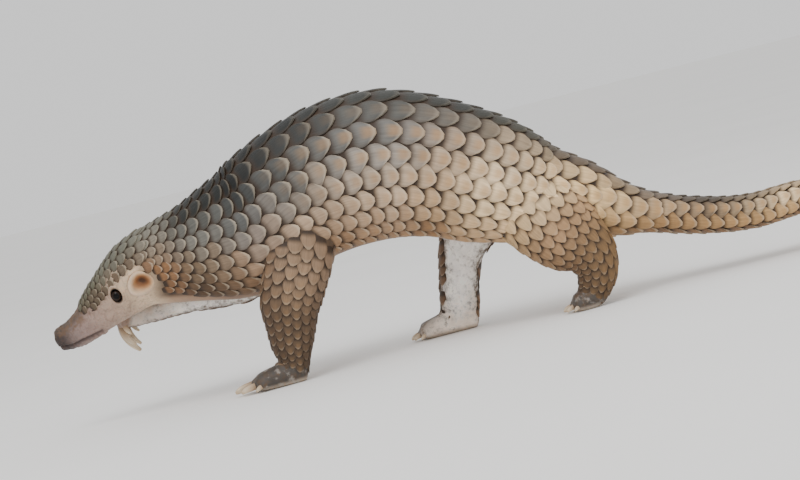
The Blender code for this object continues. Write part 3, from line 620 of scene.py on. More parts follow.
def line_distance(points, line):
    """Distance in the side view from each point to a broken line of x, z corners."""
    flat = points[:, (0, 2)]
    best = np.full(len(points), 1e9)
    for a, b in zip(np.array(line[:-1]), np.array(line[1:])):
        t = np.clip(((flat - a) @ (b - a)) / ((b - a) @ (b - a)), 0, 1)
        best = np.minimum(best, length_of(flat - a - t[:, None] * (b - a)))
    return best


def fine_noise(points, size, seed):
    """Smooth noise of about the size in mm at each point."""
    return np.array([noise.noise(Vector(p / size + seed)) for p in points])


def divide_head(piece):
    """Divides the head's faces twice, so that small folds can be worked into them."""
    bm = bmesh.new()
    bm.from_mesh(piece.data)
    limit = (DIVIDED_BEFORE + SHIFT[0]) * MM
    for _ in range(2):
        edges = [e for e in bm.edges if all(v.co.x < limit for v in e.verts)]
        bmesh.ops.subdivide_edges(bm, edges=edges, cuts=1, use_grid_fill=True)
    bm.to_mesh(piece.data)
    bm.free()


def eye_relief(p, side, on_side):
    """Heights of lids, their folds, brow and cheek, and how much each point is the dark of the opening."""
    spot, along, across, out = trunk.skin_frame(*trunk.spot(*EYE_AT, side))
    steep = np.array((0.25, 0.0, -1.0))
    long_way = unit(steep - out * (steep @ out))
    short_way = np.cross(out, long_way)
    away = p - spot
    ratio = np.sqrt((away @ long_way / LID_OPENING[0]) ** 2 + (away @ short_way / LID_OPENING[1]) ** 2)
    lift = LID_HEIGHT * bump(ratio - 1.42, 0.34) - EYE_HOLLOW * np.clip((1.22 - ratio) / 0.34, 0, 1)
    folds = np.cos((ratio - 1.42) * 9.0) * np.exp(-np.clip(ratio - 1.6, 0, 9) / 0.9) * (ratio > 1.6)
    brow = bump(np.hypot(away @ along + 1, away @ across * side - 11), 6.0)
    cheek = bump(length_of(away - along * 6 + across * side * 15), 10.0)
    near = np.where(on_side & (length_of(away) < 24), 1.0, 0.0)
    lift = near * (lift + LID_FOLDS * folds + BROW_HEIGHT * brow) + on_side * CHEEK_HEIGHT * cheek
    return lift, near * np.clip((1.30 - ratio) / 0.22, 0, 1)


def ear_relief(p, side, on_side):
    """Heights of the ear's seat, and how much each point is the pale skin round it and the painted highlight
    behind the eye.
    """
    spot, along, across, _ = trunk.skin_frame(*trunk.spot(*EAR_AT, side))
    away = p - spot
    ratio = np.sqrt((away @ along / EAR_RADII[0]) ** 2 + (away @ across / EAR_RADII[1]) ** 2)
    lift = EAR_RIM * bump(ratio - 1.25, 0.3) - EAR_HOLLOW * np.clip((1.12 - ratio) / 0.25, 0, 1)
    eye_spot, eye_along, _, _ = trunk.skin_frame(*trunk.spot(*EYE_AT, side))
    # A small painted highlight on the skin behind the eye.
    highlight_behind_eye = bump(length_of(p - eye_spot - eye_along * 7.5), 3.4)
    pale = np.maximum(bump(length_of(away), 15.0), highlight_behind_eye)
    return on_side * (length_of(away) < 22) * lift, on_side * pale


def mouth_relief(p, side, on_side):
    """Heights of lips and nostril, and how much each point is their dark line."""
    from_line = line_distance(p, MOUTH)
    lips = on_side * (p[:, 0] < MOUTH[-1][0] + 5)
    lift = lips * (LIP_HEIGHT * bump(from_line - 2.1, 1.1) - MOUTH_DEPTH * bump(from_line, 0.7))
    hole = length_of(p - np.array(NOSTRIL_AT) * (1, side, 1))
    nostril = NOSTRIL_RIM * bump(hole - 2.0, 0.7) - NOSTRIL_DEPTH * bump(hole, 1.1)
    lift = lift + (p[:, 1] * side > 0) * nostril
    return lift, np.maximum(lips * bump(from_line, 1.5), bump(hole, 1.6))


def head_detail(piece):
    """Works lids, eye hollows, ears' seats, mouth, nostrils and folds into the head's skin."""
    divide_head(piece)
    points = mesh_points(piece.data)
    head = np.where(points[:, 0] < MARKED_BEFORE)[0]
    p = points[head]
    s, angle, outside = trunk.locate(p)
    on_head = np.abs(outside) < OFF_TRUNK
    ease = np.clip((WORKED_BEFORE - p[:, 0]) / WORKED_OVER, 0, 1)
    target = trunk.points(s, angle, 0.0)
    weight = np.where(on_head & (s >= NOSE_END), ease, 0.0)
    p = p + (target - p) * weight[:, None]
    out = unit(trunk.points(s, angle, 5.0) - target)
    lift = np.zeros(len(p))
    shares = np.zeros((3, len(p)))
    for side in (-1, 1):
        on_side = on_head & (p[:, 1] * side > -1.0)
        for k, relief in enumerate((eye_relief, mouth_relief, ear_relief)):
            height, share = relief(p, side, on_side)
            lift += height
            shares[k] = np.maximum(shares[k], share)
    wrinkles = -np.abs(fine_noise(p * (1.25, 1.0, 0.6), 3.4, 3.0))
    wrinkles -= 0.6 * np.abs(fine_noise(p * (0.7, 1.0, 1.3), 2.2, 5.0))
    folds = WRINKLES * wrinkles + FINE_WRINKLES * fine_noise(p, 1.1, 9.0) + 0.35
    lift += on_head * folds * np.clip((p[:, 0] + 166) / 10, 0.3, 1)
    points[head] = p + out * (lift * ease)[:, None]
    set_points(piece.data, points)
    face = np.zeros((len(points), 3))
    face[head] = (shares * on_head).T
    mark(piece, "face", face)
    creases = np.zeros(len(points))
    creases[head] = np.clip(-1.6 * wrinkles - 0.1, 0, 1) * on_head
    mark(piece, "crease", creases, "FLOAT", "value")


def skin_marks(piece):
    """Marks each skin point's place and how much it is leg, inner face of a leg, foot and sole."""
    points = mesh_points(piece.data)
    s, angle, outside = trunk.locate(points)
    closest = np.full(len(points), 1e9)
    down = np.zeros(len(points))
    inner = np.zeros(len(points))
    for name, leg in legs.items():
        leg_s, leg_angle, leg_outside = leg.locate(points)
        mine = leg_outside < closest
        closest = np.where(mine, leg_outside, closest)
        down = np.where(mine, leg_s / leg.length, down)
        inner = np.where(mine, 0.5 - 0.5 * outward(name) * np.sin(leg_angle), inner)
    leg_share = np.clip(0.5 + (outside - closest) / 8.0, 0, 1)
    mark(piece, "place", np.stack((np.abs(angle) / math.pi, s / trunk.length, leg_share), axis=1))
    mark(piece, "limb", np.stack((inner, down, np.clip(-points[:, 2] / 6.0 + 1.0, 0, 1)), axis=1))


# The net of one scale: across and along shares of its points, the outermost being the rim, and the
# keel point under it last.
COLUMNS = (-1.0, -0.97, -0.66, -0.23, 0.23, 0.66, 0.97, 1.0)
ROWS = (0.0, 0.22, 0.44, 0.64, 0.82, 0.965, 1.0)
NET_ACROSS, NET_ALONG = (grid.ravel() for grid in np.meshgrid(COLUMNS, ROWS))
NET_RIM = (np.abs(NET_ACROSS) == 1.0) | (NET_ALONG == 1.0)
KEEL = (0.0, 0.4)


def scale_faces():
    """Faces of one scale: its upper net and a fan from its edge to the keel point under it."""
    n, m = len(COLUMNS), len(ROWS)
    corners = [j * n + i for j in range(m - 1) for i in range(n - 1)]
    faces = [(k, k + 1, k + n + 1, k + n) for k in corners]
    edge = list(range(n))
    edge += [j * n + n - 1 for j in range(1, m)]
    edge += [(m - 1) * n + i for i in range(n - 2, -1, -1)]
    edge += [j * n for j in range(m - 2, 0, -1)]
    faces += [(edge[(k + 1) % len(edge)], edge[k], n * m) for k in range(len(edge))]
    return faces


SCALE_FACES = scale_faces()


def lattice(sweep, start, end, count, spread=LINE_SPREAD):
    """Places of scales on lines down each side of the scaled girth, each line half a pitch off the next."""
    spots = [named[name] for name, _ in COVER]
    degrees = [angle for _, angle in COVER]
    lines = np.arange(count + 1) / count
    shares = lines * (1 + spread * (1 - lines))
    gaps = np.gradient(shares)
    places = []
    s = start
    ring = 0
    while s < end:
        runs = sweep.girth_runs(s)
        limit = np.interp(math.radians(np.interp(s, spots, degrees)), sweep.turns, runs)
        pitch = limit / count * PITCH_SHARE
        for line in range(-count, count + 1):
            if (line + ring) % 2:
                continue
            angle = math.copysign(np.interp(limit * shares[abs(line)], runs, sweep.turns), line)
            places.append((s, angle, pitch, limit * gaps[abs(line)], line))
        s += 0.5 * pitch
        ring += 1
    return np.array(places)


def even_lattice(sweep, start, end, lines, side, spacing, pitch_share):
    """Places of scales on lines a fixed space apart, counted from the line at the angle side."""
    places = []
    s = start
    ring = 0
    while s < end:
        gap = spacing[0] + (spacing[1] - spacing[0]) * (s - start) / (end - start)
        runs = sweep.girth_runs(s)
        middle = np.interp(abs(side), sweep.turns, runs)
        for line in range(lines[0], lines[1] + 1):
            run = middle + line * gap
            if (line + ring) % 2 or abs(line * gap) > runs[-1]:
                continue
            if run > runs[-1]:
                run = run - 2 * runs[-1]
            angle = math.copysign(np.interp(abs(run), runs, sweep.turns), run) * math.copysign(1.0, side)
            places.append((s, angle, gap * pitch_share, gap, line))
        s += 0.5 * gap * pitch_share
        ring += 1
    return np.array(places)


def scale_nets(sweep, places, lift, tip):
    """The scales' own places, their points and the sweep's surface under each, with small differences."""
    count = len(places)
    s0, a0, pitch, gap = (places[:, k][:, None] for k in range(4))
    pitch = pitch * rng.uniform(0.95, 1.05, (count, 1))
    half = 0.5 * SCALE_WIDTH * (gap * rng.uniform(0.96, 1.05, (count, 1)))
    s0 = s0 + pitch * rng.uniform(-0.04, 0.04, (count, 1))
    raised = lift * rng.uniform(0.88, 1.12, (count, 1))
    yaw = rng.uniform(-0.05, 0.05, (count, 1))
    size = np.minimum(1.0, gap / FULL_THICKNESS_AT)
    u, v = NET_ACROSS, NET_ALONG
    widening = np.sin(np.clip(v / WIDEST_AT, 0, 1) * math.pi / 2)
    narrowing = np.clip((v - WIDEST_AT) / (1 - WIDEST_AT), 0, 1) ** 2
    width = ROOT_WIDTH + (1 - ROOT_WIDTH) * widening - TIP_NARROWING * narrowing
    arc = np.linalg.norm(sweep.points(s0, a0 + 0.04) - sweep.points(s0, a0 - 0.04), axis=-1) / 0.08
    reach = v * (1 - tip * np.abs(u) ** 2.0 * v)
    s = s0 + pitch * (-ROOT_BACK + (1.0 + ROOT_BACK) * reach) + yaw * u * half
    angle = a0 + u * half * width / np.maximum(arc, 2.0)
    dome = DOME * (1 - np.abs(u) ** 2.4) * (0.30 + 0.70 * v) - TIP_DROOP * v ** 6
    slope = ROOT_HEIGHT + (TIP_HEIGHT - ROOT_HEIGHT) * v
    height = raised * size * (slope + dome - EDGE_DROP * NET_RIM)
    s = np.hstack((s, s0 + KEEL_AT * pitch))
    angle = np.hstack((angle, a0))
    height = np.hstack((height, -KEEL_DEPTH * size))
    return s0, a0, sweep.points(s, angle, height), sweep.points(s, angle, 0.0)


def fit_to_skin(points, surface, tree):
    """Tilts each scale as a whole up to the skin where a leg's join lies over it, and tells which show."""
    count, per = points.shape[:2]
    rise = np.zeros((count * per, 3))
    depths = np.zeros(count * per)
    for k, base in enumerate(surface.reshape(-1, 3)):
        spot = Vector(to_metres(base))
        found, normal, _, _ = tree.find_nearest(spot)
        depths[k] = (found - spot).dot(normal) / MM
        if depths[k] > SKIN_OVER:
            rise[k] = np.array(normal) * (depths[k] - SKIN_OVER)
    plane = np.stack((np.ones(per), np.append(NET_ACROSS, KEEL[0]), np.append(NET_ALONG, KEEL[1])), axis=1)
    points = points + plane @ (np.linalg.pinv(plane) @ rise.reshape(count, per, 3))
    points[..., 2] = np.maximum(points[..., 2], ABOVE_FLOOR)
    return points, depths.reshape(count, per).max(axis=1) < DEEPEST


def bake_map(piece, roots, grain):
    """The map the scales are baked by: a small patch for each scale round its own root."""
    patch = 0.0015 * np.stack((grain[..., 0], 2 * grain[..., 1] - 1), axis=-1)
    spots = (roots + patch).reshape(-1, 2)
    loops = np.empty(len(piece.data.loops), np.int32)
    piece.data.loops.foreach_get("vertex_index", loops)
    layer = piece.data.uv_layers.new(name="OFBake")
    layer.data.foreach_set("uv", spots[loops].astype(np.float32).ravel())


def lay_scales(name, sweep, places, tree, bake_at, lift=1.0, tip=TIP_ROUND):
    """Joins the scales at the places to one piece, each laid on its sweep and clear of the skin's joins."""
    s0, a0, points, surface = scale_nets(sweep, places, lift, tip)
    points, shown = fit_to_skin(points, surface, tree)
    points, s0, a0 = points[shown], s0[shown], a0[shown]
    count, per = points.shape[:2]
    faces = [tuple(i + per * k for i in face) for k in range(count) for face in SCALE_FACES]
    piece = mesh_piece(name, points.reshape(-1, 3), faces)
    shade = rng.uniform(0, 1, (count, 1))
    across, along = (np.append(net, end) for net, end in zip((NET_ACROSS, NET_ALONG), KEEL))
    grain = np.stack(np.broadcast_arrays(across, along, shade), axis=-1)
    girth, length = np.abs(a0) / math.pi, s0 / sweep.length
    mark(piece, "grain", grain)
    mark(piece, "place", np.stack(np.broadcast_arrays(girth, length, np.zeros(per)), axis=-1))
    corner, extent = bake_at
    around = corner[1] + extent[1] * (a0 / (2 * math.pi) + 0.5)
    bake_map(piece, np.stack((corner[0] + extent[0] * length, around), axis=-1), grain)
    return piece


def clear_of(places, sweep, others, least):
    """The places whose surface point lies outside the other sweeps by at least the distance."""
    points = sweep.points(places[:, 0], places[:, 1])
    keep = np.ones(len(places), bool)
    for other in others:
        keep &= other.locate(points)[2] > least
    return places[keep]


def skin_tree(piece):
    """The skin as a tree in which the nearest point is found fast."""
    return BVHTree.FromObject(piece, bpy.context.evaluated_depsgraph_get())


def crown_places():
    """Small scales from above the snout to the nape, clear of eyes and ears."""
    found = even_lattice(trunk, CROWN_START, CROWN_END, CROWN_LINES, 0.0, CROWN_SPACING, CROWN_PITCH)
    stations = [named[name] for name, _ in CROWN_COVER]
    limit = np.radians(np.interp(found[:, 0], stations, [degrees for _, degrees in CROWN_COVER]))
    flat = trunk.points(found[:, 0], found[:, 1]) * (1, 0, 1)
    keep = np.abs(found[:, 1]) < limit
    for spot, room in CROWN_BARE:
        keep &= length_of(flat - trunk.points(*trunk.spot(*spot, 1)) * (1, 0, 1)) > room
    return found[keep]


def body_places():
    """Lines from the nape to the hips, and fewer, wider ones over the rump to the root of the tail."""
    body = lattice(trunk, CROWN_END, named["hip"], BODY_LINES)
    hips = lattice(trunk, named["hip"], RUMP_START, HIP_LINES)
    root = lattice(trunk, RUMP_START, RUMP_END, ROOT_LINES)
    found = clear_of(np.vstack((body, hips, root)), trunk, legs.values(), -INSIDE_LEG)
    flat = trunk.points(found[:, 0], found[:, 1])[:, (0, 2)]
    return found[length_of(flat - BEHIND_EAR) > BEHIND_EAR_BARE]


def tail_places():
    """Even lines all round the tail; the two that meet under it are one."""
    found = lattice(trunk, TAIL_START, TAIL_END, TAIL_LINES, 0.0)
    return found[found[:, 4] > -TAIL_LINES]


def leg_places(name):
    """Lines down a leg's outer face; the last ones towards the bare inner face are broken up."""
    degrees, lines, spacing, least = LEG_LINES[name]
    leg = legs[name]
    middle = math.radians(degrees) * outward(name)
    end = leg.length - LEG_ENDS[1]
    found = even_lattice(leg, LEG_ENDS[0], end, lines, middle, spacing, 1.0)
    ragged = np.abs(found[:, 4]) >= lines[1] - 1
    found = found[~ragged | (rng.uniform(0, 1, len(found)) < RAGGED_SHARE)]
    return clear_of(found, leg, [trunk], least)


def foot_places(sole):
    """Small scales over the top of a foot, from the ankle to the roots of the toes."""
    start, end = (share * sole.length for share in FOOT_ENDS)
    return even_lattice(sole, start, end, FOOT_LINES, math.pi, FOOT_SPACING, FOOT_PITCH)


def linear(colour):
    """A linear colour from an sRGB hex value."""
    parts = [int(colour[i:i + 2], 16) / 255 for i in (1, 3, 5)]
    return (*[c / 12.92 if c <= 0.04045 else ((c + 0.055) / 1.055) ** 2.4 for c in parts], 1.0)


def add(tree, kind, links=None, stops=None, **settings):
    """Adds a node with its settings, values and links, and gives its outputs; stops are a ramp's."""
    made = tree.nodes.new(kind)
    for key, value in settings.items():
        setattr(made, key, value)
    for key, value in (links or {}).items():
        if isinstance(value, bpy.types.NodeSocket):
            tree.links.new(value, made.inputs[key])
        else:
            made.inputs[key].default_value = value
    if stops:
        while len(made.color_ramp.elements) < len(stops):
            made.color_ramp.elements.new(1.0)
        for element, (place, colour) in zip(made.color_ramp.elements, stops):
            element.position = place
            element.color = linear(colour) if isinstance(colour, str) else (colour, colour, colour, 1.0)
    return made.outputs


def new_material(name, roughness, specular=0.3):
    """A material with its node tree and shader."""
    material = bpy.data.materials.new(name)
    material.use_nodes = True
    tree = material.node_tree
    shader = tree.nodes["Principled BSDF"]
    shader.inputs["Roughness"].default_value = roughness
    shader.inputs["Specular IOR Level"].default_value = specular
    return material, tree, shader


def marked(tree, name):
    """The three values that a piece's points carry under a name."""
    vector = add(tree, "ShaderNodeAttribute", attribute_name=name)["Vector"]
    return add(tree, "ShaderNodeSeparateXYZ", {0: vector})


def layered(tree, colour, layers):
    """Lays colours over a colour: each has a share, and its values let it in from low (none) to high."""
    for over, share, *steps in layers:
        for value, low, high in steps:
            span = {"Value": value, "From Min": low, "From Max": high}
            step = add(tree, "ShaderNodeMapRange", span, interpolation_type="SMOOTHSTEP")[0]
            share = add(tree, "ShaderNodeMath", {0: share, 1: step}, operation="MULTIPLY")[0]
        sides = {0: share, 6: colour, 7: linear(over) if isinstance(over, str) else over}
        colour = add(tree, "ShaderNodeMix", sides, data_type="RGBA", clamp_factor=True)[2]
    return colour


def toned(tree, colour, texture, span, tones):
    """A colour made darker and lighter by a texture, whose values over the span become the tones."""
    ends = {"From Min": span[0], "From Max": span[1], "To Min": tones[0], "To Max": tones[1]}
    tone = add(tree, "ShaderNodeMapRange", {"Value": texture, **ends})[0]
    grey = add(tree, "ShaderNodeCombineColor", {0: tone, 1: tone, 2: tone})[0]
    sides = {0: 1.0, 6: colour, 7: grey}
    return add(tree, "ShaderNodeMix", sides, data_type="RGBA", blend_type="MULTIPLY", clamp_factor=True)[2]


def dress(tree, shader, colour, height, strength, distance):
    """Gives the shader its colour, and a relief of the distance in metres from the height."""
    relief = add(tree, "ShaderNodeBump", {"Height": height, "Strength": strength, "Distance": distance})[0]
    tree.links.new(colour, shader.inputs["Base Color"])
    tree.links.new(relief, shader.inputs["Normal"])


def let_light_in(shader, weight):
    """Lets light a few millimetres into skin, red farthest."""
    shader.inputs["Subsurface Weight"].default_value = weight
    shader.inputs["Subsurface Radius"].default_value = (0.004, 0.0015, 0.0008)


def at(name):
    """A station's place as a share of the trunk's length."""
    return named[name] / trunk.length


# Colours round the girth, from the mid line of the back (0) to that of the belly (1), at stations. Besides
# the horn's own colours they hold painted light and shade: the flanks over the hips, rump and tail are
# painted bright as if lit, the top of the back darker as if turned from the light, and the lowest lines
# towards the belly darker as if in shade.
SCALE_ZONES = (
    ("cheek", ((0.0, "#5d5b4c"), (0.2, "#5a5846"), (0.36, "#5f5140"))),
    ("ear", ((0.0, "#696759"), (0.25, "#67665a"), (0.42, "#6a5847"), (0.58, "#7a5337"))),
    ("nape", ((0.0, "#6b685c"), (0.28, "#7b766a"), (0.42, "#83705d"), (0.52, "#86603f"), (0.8, "#7a563a"))),
    ("neck", ((0.0, "#1e1f1c"), (0.24, "#232522"), (0.42, "#6f6d66"), (0.56, "#79654f"), (0.72, "#523d2a"))),
    ("shoulder_front", (
        (0.0, "#101110"), (0.28, "#151716"), (0.40, "#4b4d4c"), (0.50, "#7f7770"), (0.62, "#a88a6f"),
        (0.78, "#8f6f52"),
    )),
    ("shoulder", (
        (0.0, "#1e1f1d"), (0.20, "#202221"), (0.36, "#454644"), (0.46, "#6d6963"), (0.58, "#b39a81"),
        (0.80, "#957557"),
    )),
    ("back", (
        (0.0, "#393a36"), (0.14, "#3d3e3a"), (0.27, "#5d5c58"), (0.38, "#7d7a75"), (0.48, "#a3988c"),
        (0.60, "#c4ab90"), (0.80, "#9c7c5f"),
    )),
    ("loin", (
        (0.0, "#2f302d"), (0.14, "#3b3b36"), (0.24, "#716a61"), (0.36, "#9d8b7b"), (0.52, "#bfa587"),
        (0.66, "#b0916e"), (0.82, "#8a6848"),
    )),
    ("hip_front", (
        (0.0, "#38382f"), (0.14, "#4a473d"), (0.28, "#a8937a"), (0.42, "#dcc3a2"), (0.58, "#fbdcae"),
        (0.82, "#c39f78"),
    )),
    ("rump", ((0.0, "#54483c"), (0.16, "#705f4d"), (0.32, "#eecb98"), (0.52, "#f6cf96"), (0.75, "#c49d6f"))),
    ("tail_1", (
        (0.0, "#5d544b"), (0.20, "#776757"), (0.42, "#bfa27e"), (0.62, "#a98458"), (0.85, "#7b5d43"),
    )),
    ("tail_2", (
        (0.0, "#4c4339"), (0.26, "#584d41"), (0.42, "#8b7358"), (0.62, "#a98458"), (0.85, "#7b5d43"),
    )),
    ("tail_4", (
        (0.0, "#a48c6f"), (0.22, "#c4a882"), (0.44, "#fbdcae"), (0.62, "#d0a874"), (0.85, "#8b6b4d"),
    )),
)

# The same for the legs, at shares of their length, from the line at a leg's rear or underside (0) to the
# one in front or on top (1).
LEG_ZONES = {
    "foreleg_left": (
        (0.30, ((0.0, "#7d6551"), (0.5, "#94795f"), (0.8, "#7a614b"))),
        (0.62, ((0.0, "#54402f"), (0.5, "#5d4936"), (0.8, "#4b3828"))),
        (1.00, ((0.0, "#4a3827"), (0.5, "#4f3e2d"), (0.8, "#413123"))),
    ),
    "foreleg_right": (
        (0.0, ((0.0, "#7d6551"), (0.5, "#94795f"), (0.8, "#7a614b"))),
        (1.0, ((0.0, "#9a7e64"), (0.5, "#b09a84"), (0.8, "#8a7058"))),
    ),
    "hindleg_left": (
        (0.05, ((0.0, "#e0c090"), (0.5, "#dcbf95"), (0.8, "#c8a679"))),
        (0.32, ((0.0, "#b8936a"), (0.5, "#ab8763"), (0.8, "#9a7957"))),
        (0.60, ((0.0, "#84653f"), (0.5, "#745a3e"), (0.8, "#6a5038"))),
        (1.00, ((0.0, "#62492f"), (0.5, "#54412c"), (0.8, "#463424"))),
    ),
    "hindleg_right": ((0.0, ((0.0, "#7d6047"), (0.5, "#8a6e54"), (0.8, "#6e5540"))),),
}


def zone_colours(tree, girth, along, zones):
    """Blends the zones' ramps round the girth into each other from station to station."""
    colour = None
    for place, stops in zones:
        here = at(place) if isinstance(place, str) else place
        ramp = add(tree, "ShaderNodeValToRGB", {0: girth}, stops=stops)[0]
        if colour:
            ramp = layered(tree, colour, [(ramp, 1.0, (along, before, here))])
        colour = ramp
        before = here
    return colour


def streaks_along(tree, marks, stretch, shift, **texture):
    """A noise drawn out from root to tip, which begins elsewhere on each piece."""
    across, run, own = marks
    drawn_out = add(tree, "ShaderNodeMath", {0: run, 1: stretch}, operation="MULTIPLY")[0]
    begin = add(tree, "ShaderNodeMath", {0: own, 1: shift}, operation="MULTIPLY")[0]
    where = add(tree, "ShaderNodeCombineXYZ", {0: across, 1: drawn_out, 2: begin})[0]
    return add(tree, "ShaderNodeTexNoise", {"Vector": where, "Detail": 3.0, **texture})[0]


def scale_material(name, zones, pale_tip, ochre, roughness=0.5):
    """Worn horn: matt, streaked from root to tip, with painted shade at the root and sides, a warm middle
    with a painted highlight, and a free edge painted pale.
    """
    material, tree, shader = new_material(name, roughness)
    girth, along, _ = marked(tree, "place")
    marks = marked(tree, "grain")
    across, run, shade = marks
    # Each scale's colour is picked a little off its place, so that neighbours differ.
    spread = add(tree, "ShaderNodeMapRange", {"Value": shade, "To Min": -0.035, "To Max": 0.035})[0]
    picked = add(tree, "ShaderNodeMath", {0: girth, 1: spread}, operation="ADD")[0]
    colour = zone_colours(tree, picked, along, zones)
    # Growth streaks about 1.5 mm apart run from the root to the free edge.
    streaks = streaks_along(tree, marks, 0.12, 57.0, Scale=7.0, Roughness=0.6)
    colour = toned(tree, colour, streaks, (0.3, 0.7), (0.80, 1.18))
    off_middle = add(tree, "ShaderNodeMath", {0: across, 1: across}, operation="MULTIPLY")[0]
    off_side = add(tree, "ShaderNodeMath", {0: across}, operation="ABSOLUTE")[0]
    # How warm the middle of a scale is painted round the girth, as ochre horn and as a painted highlight.
    flank = ((0.22, 0.0), (0.38, ochre), (0.50, ochre), (0.66, ochre * 0.5))
    worn = add(tree, "ShaderNodeValToRGB", {0: girth}, stops=flank)[0]
    # How pale the free edge is painted, as worn horn and as light shining through it, from little on the back
    # to full on the flanks.
    ends = {"From Min": 0.16, "From Max": 0.42, "To Min": pale_tip * 0.2, "To Max": pale_tip}
    worn_and_lit_edge = add(tree, "ShaderNodeMapRange", {"Value": girth, **ends})[0]
    behind_shoulder = (along, at("shoulder_front"), at("back"))
    colour = layered(tree, colour, (
        # The middle is painted warm on the flanks, behind the shoulder: partly the horn's own ochre, partly a
        # painted highlight on each scale's crown.
        ("#b98c58", worn, (off_middle, 0.35, 0.0), (run, 0.45, 0.75), behind_shoulder),
        # Painted shade in the overlaps: the hidden root and the side edges are darkened as if shadowed by the
        # scales over them.
        ("#3a2c21", 1.0, (run, 0.54, 0.20)),
        ("#4a3a2d", 0.42, (off_side, 0.62, 1.0)),
        # The thin free edge is painted pale: partly worn horn, partly painted light shining through it.
        ("#d6c6ae", worn_and_lit_edge, (run, 0.80, 0.99)),
    ))
    # Blotches of dried mud, 15 to 30 mm across.
    where = add(tree, "ShaderNodeTexCoord")["Object"]
    texture = {"Vector": where, "Scale": 42.0, "Detail": 4.0, "Roughness": 0.6}
    mud = add(tree, "ShaderNodeTexNoise", texture)[0]
    colour = toned(tree, colour, mud, (0.35, 0.68), (0.86, 1.12))
    dress(tree, shader, colour, streaks, 0.55, 0.0007)
    # The streaks' crests are duller than their hollows.
    ends = {"From Min": 0.3, "From Max": 0.7, "To Min": roughness - 0.08, "To Max": roughness + 0.14}
    gloss = add(tree, "ShaderNodeMapRange", {"Value": streaks, **ends})[0]
    tree.links.new(gloss, shader.inputs["Roughness"])
    return material


SKIN_ALONG = (
    (0.0, "#332b2a"), (at("snout"), "#443936"), (at("lip") * 0.95, "#806e68"), (at("muzzle"), "#9a8279"),
    (at("eye"), "#b39a86"), (at("ear"), "#dcc3a6"), (at("nape"), "#a5866c"), (at("neck_base"), "#8a6d57"),
)


def leg_skin(tree, where, limb):
    """Pale skin of the legs' inner faces, mottled brown towards the scales, with dark worn feet."""
    inner, down, sole = limb
    texture = {"Vector": where, "Scale": 230.0, "Detail": 5.0, "Roughness": 0.7}
    blotch = add(tree, "ShaderNodeTexNoise", texture)[0]
    blotch = add(tree, "ShaderNodeMath", {0: blotch, 1: -0.5}, operation="ADD")[0]
    blotch = add(tree, "ShaderNodeMath", {0: blotch, 1: 1.2}, operation="MULTIPLY")[0]
    bare = add(tree, "ShaderNodeMath", {0: inner, 1: blotch}, operation="ADD")[0]
    low = add(tree, "ShaderNodeMath", {0: down, 1: blotch}, operation="ADD")[0]
    texture = {"Vector": where, "Scale": 150.0, "Detail": 4.0, "Roughness": 0.6}
    worn = add(tree, "ShaderNodeTexNoise", texture)[0]
    foot = layered(tree, linear("#4c4641"), [("#ecdccd", 1.0, (inner, 0.50, 0.85))])
    return layered(tree, linear("#5d4a39"), (
        ("#fffaf3", 1.0, (bare, 0.56, 1.04)),
        (foot, 1.0, (low, 0.72, 1.10)),
        ("#b9a998", 1.0, (sole, 0.2, 0.9)),
        ("#b3aaa0", 0.5, (worn, 0.52, 0.66), (down, 0.85, 1.0)),
    ))


def skin_material():
    """Bare wrinkled hide: mauve grey snout, cream cheeks, pale belly and limbs, painted dark as shade under
    the scales, with a painted highlight behind each eye.
    """
    material, tree, shader = new_material("wrinkled bare hide", 0.55)
    girth, along, leg = marked(tree, "place")
    lids, lips, ear_skin_and_highlight = marked(tree, "face")
    crease = add(tree, "ShaderNodeAttribute", attribute_name="crease")["Fac"]
    where = add(tree, "ShaderNodeTexCoord")["Object"]
    patch = add(tree, "ShaderNodeTexNoise", {"Vector": where, "Scale": 260.0, "Detail": 3.0})[0]
    ear_and_highlight_share = add(tree, "ShaderNodeMath", {0: ear_skin_and_highlight, 1: 0.7}, operation="MULTIPLY")[0]
    lip_share = add(tree, "ShaderNodeMath", {0: lips, 1: 0.75}, operation="MULTIPLY")[0]
    colour = add(tree, "ShaderNodeValToRGB", {0: along}, stops=SKIN_ALONG)[0]
    colour = layered(tree, colour, (
        # The bridge of the snout is darker than its sides, and the skin under the scales is painted dark, as
        # the shade in the gaps between them.
        ("#51443a", 0.85, (girth, 0.50, 0.26), (along, at("ear"), at("cheek"))),
        ("#6f6759", 1.0, (girth, 0.40, 0.28), (along, at("muzzle"), at("cheek"))),
        ("#3a2c22", 1.0, (girth, 0.84, 0.74), (along, at("ear"), at("nape"))),
        # Brown patches run down from the crown in front of the eye.
        ("#6b523e", 0.7, (patch, 0.44, 0.58), (girth, 0.52, 0.40), (along, at("eye"), at("cheek"))),
        (leg_skin(tree, where, marked(tree, "limb")), leg),
        # Pale skin round the ears, and a painted highlight on the skin behind each eye.
        ("#d3b797", ear_and_highlight_share),
        ("#3c2f2e", lip_share),
        ("#1d1513", lids),
        # The face's skin, in front of the nape, is darkened a little away from its creases.
        ("#5b463c", 0.34, (crease, 0.40, 0.0), (along, at("nape"), at("ear"))),
    ))
    # Pores and blood under the skin vary the tone over about 8 mm.
    texture = {"Vector": where, "Scale": 120.0, "Detail": 5.0, "Roughness": 0.65}
    mottle = add(tree, "ShaderNodeTexNoise", texture)[0]
    colour = toned(tree, colour, mottle, (0.3, 0.7), (0.84, 1.12))
    # Fine cracks of the hide, cells about 1.2 mm wide.
    texture = {"Vector": where, "Scale": 800.0}
    cells = add(tree, "ShaderNodeTexVoronoi", texture, feature="DISTANCE_TO_EDGE")[0]
    dress(tree, shader, colour, cells, 0.25, 0.0005)
    let_light_in(shader, 0.12)
    return material


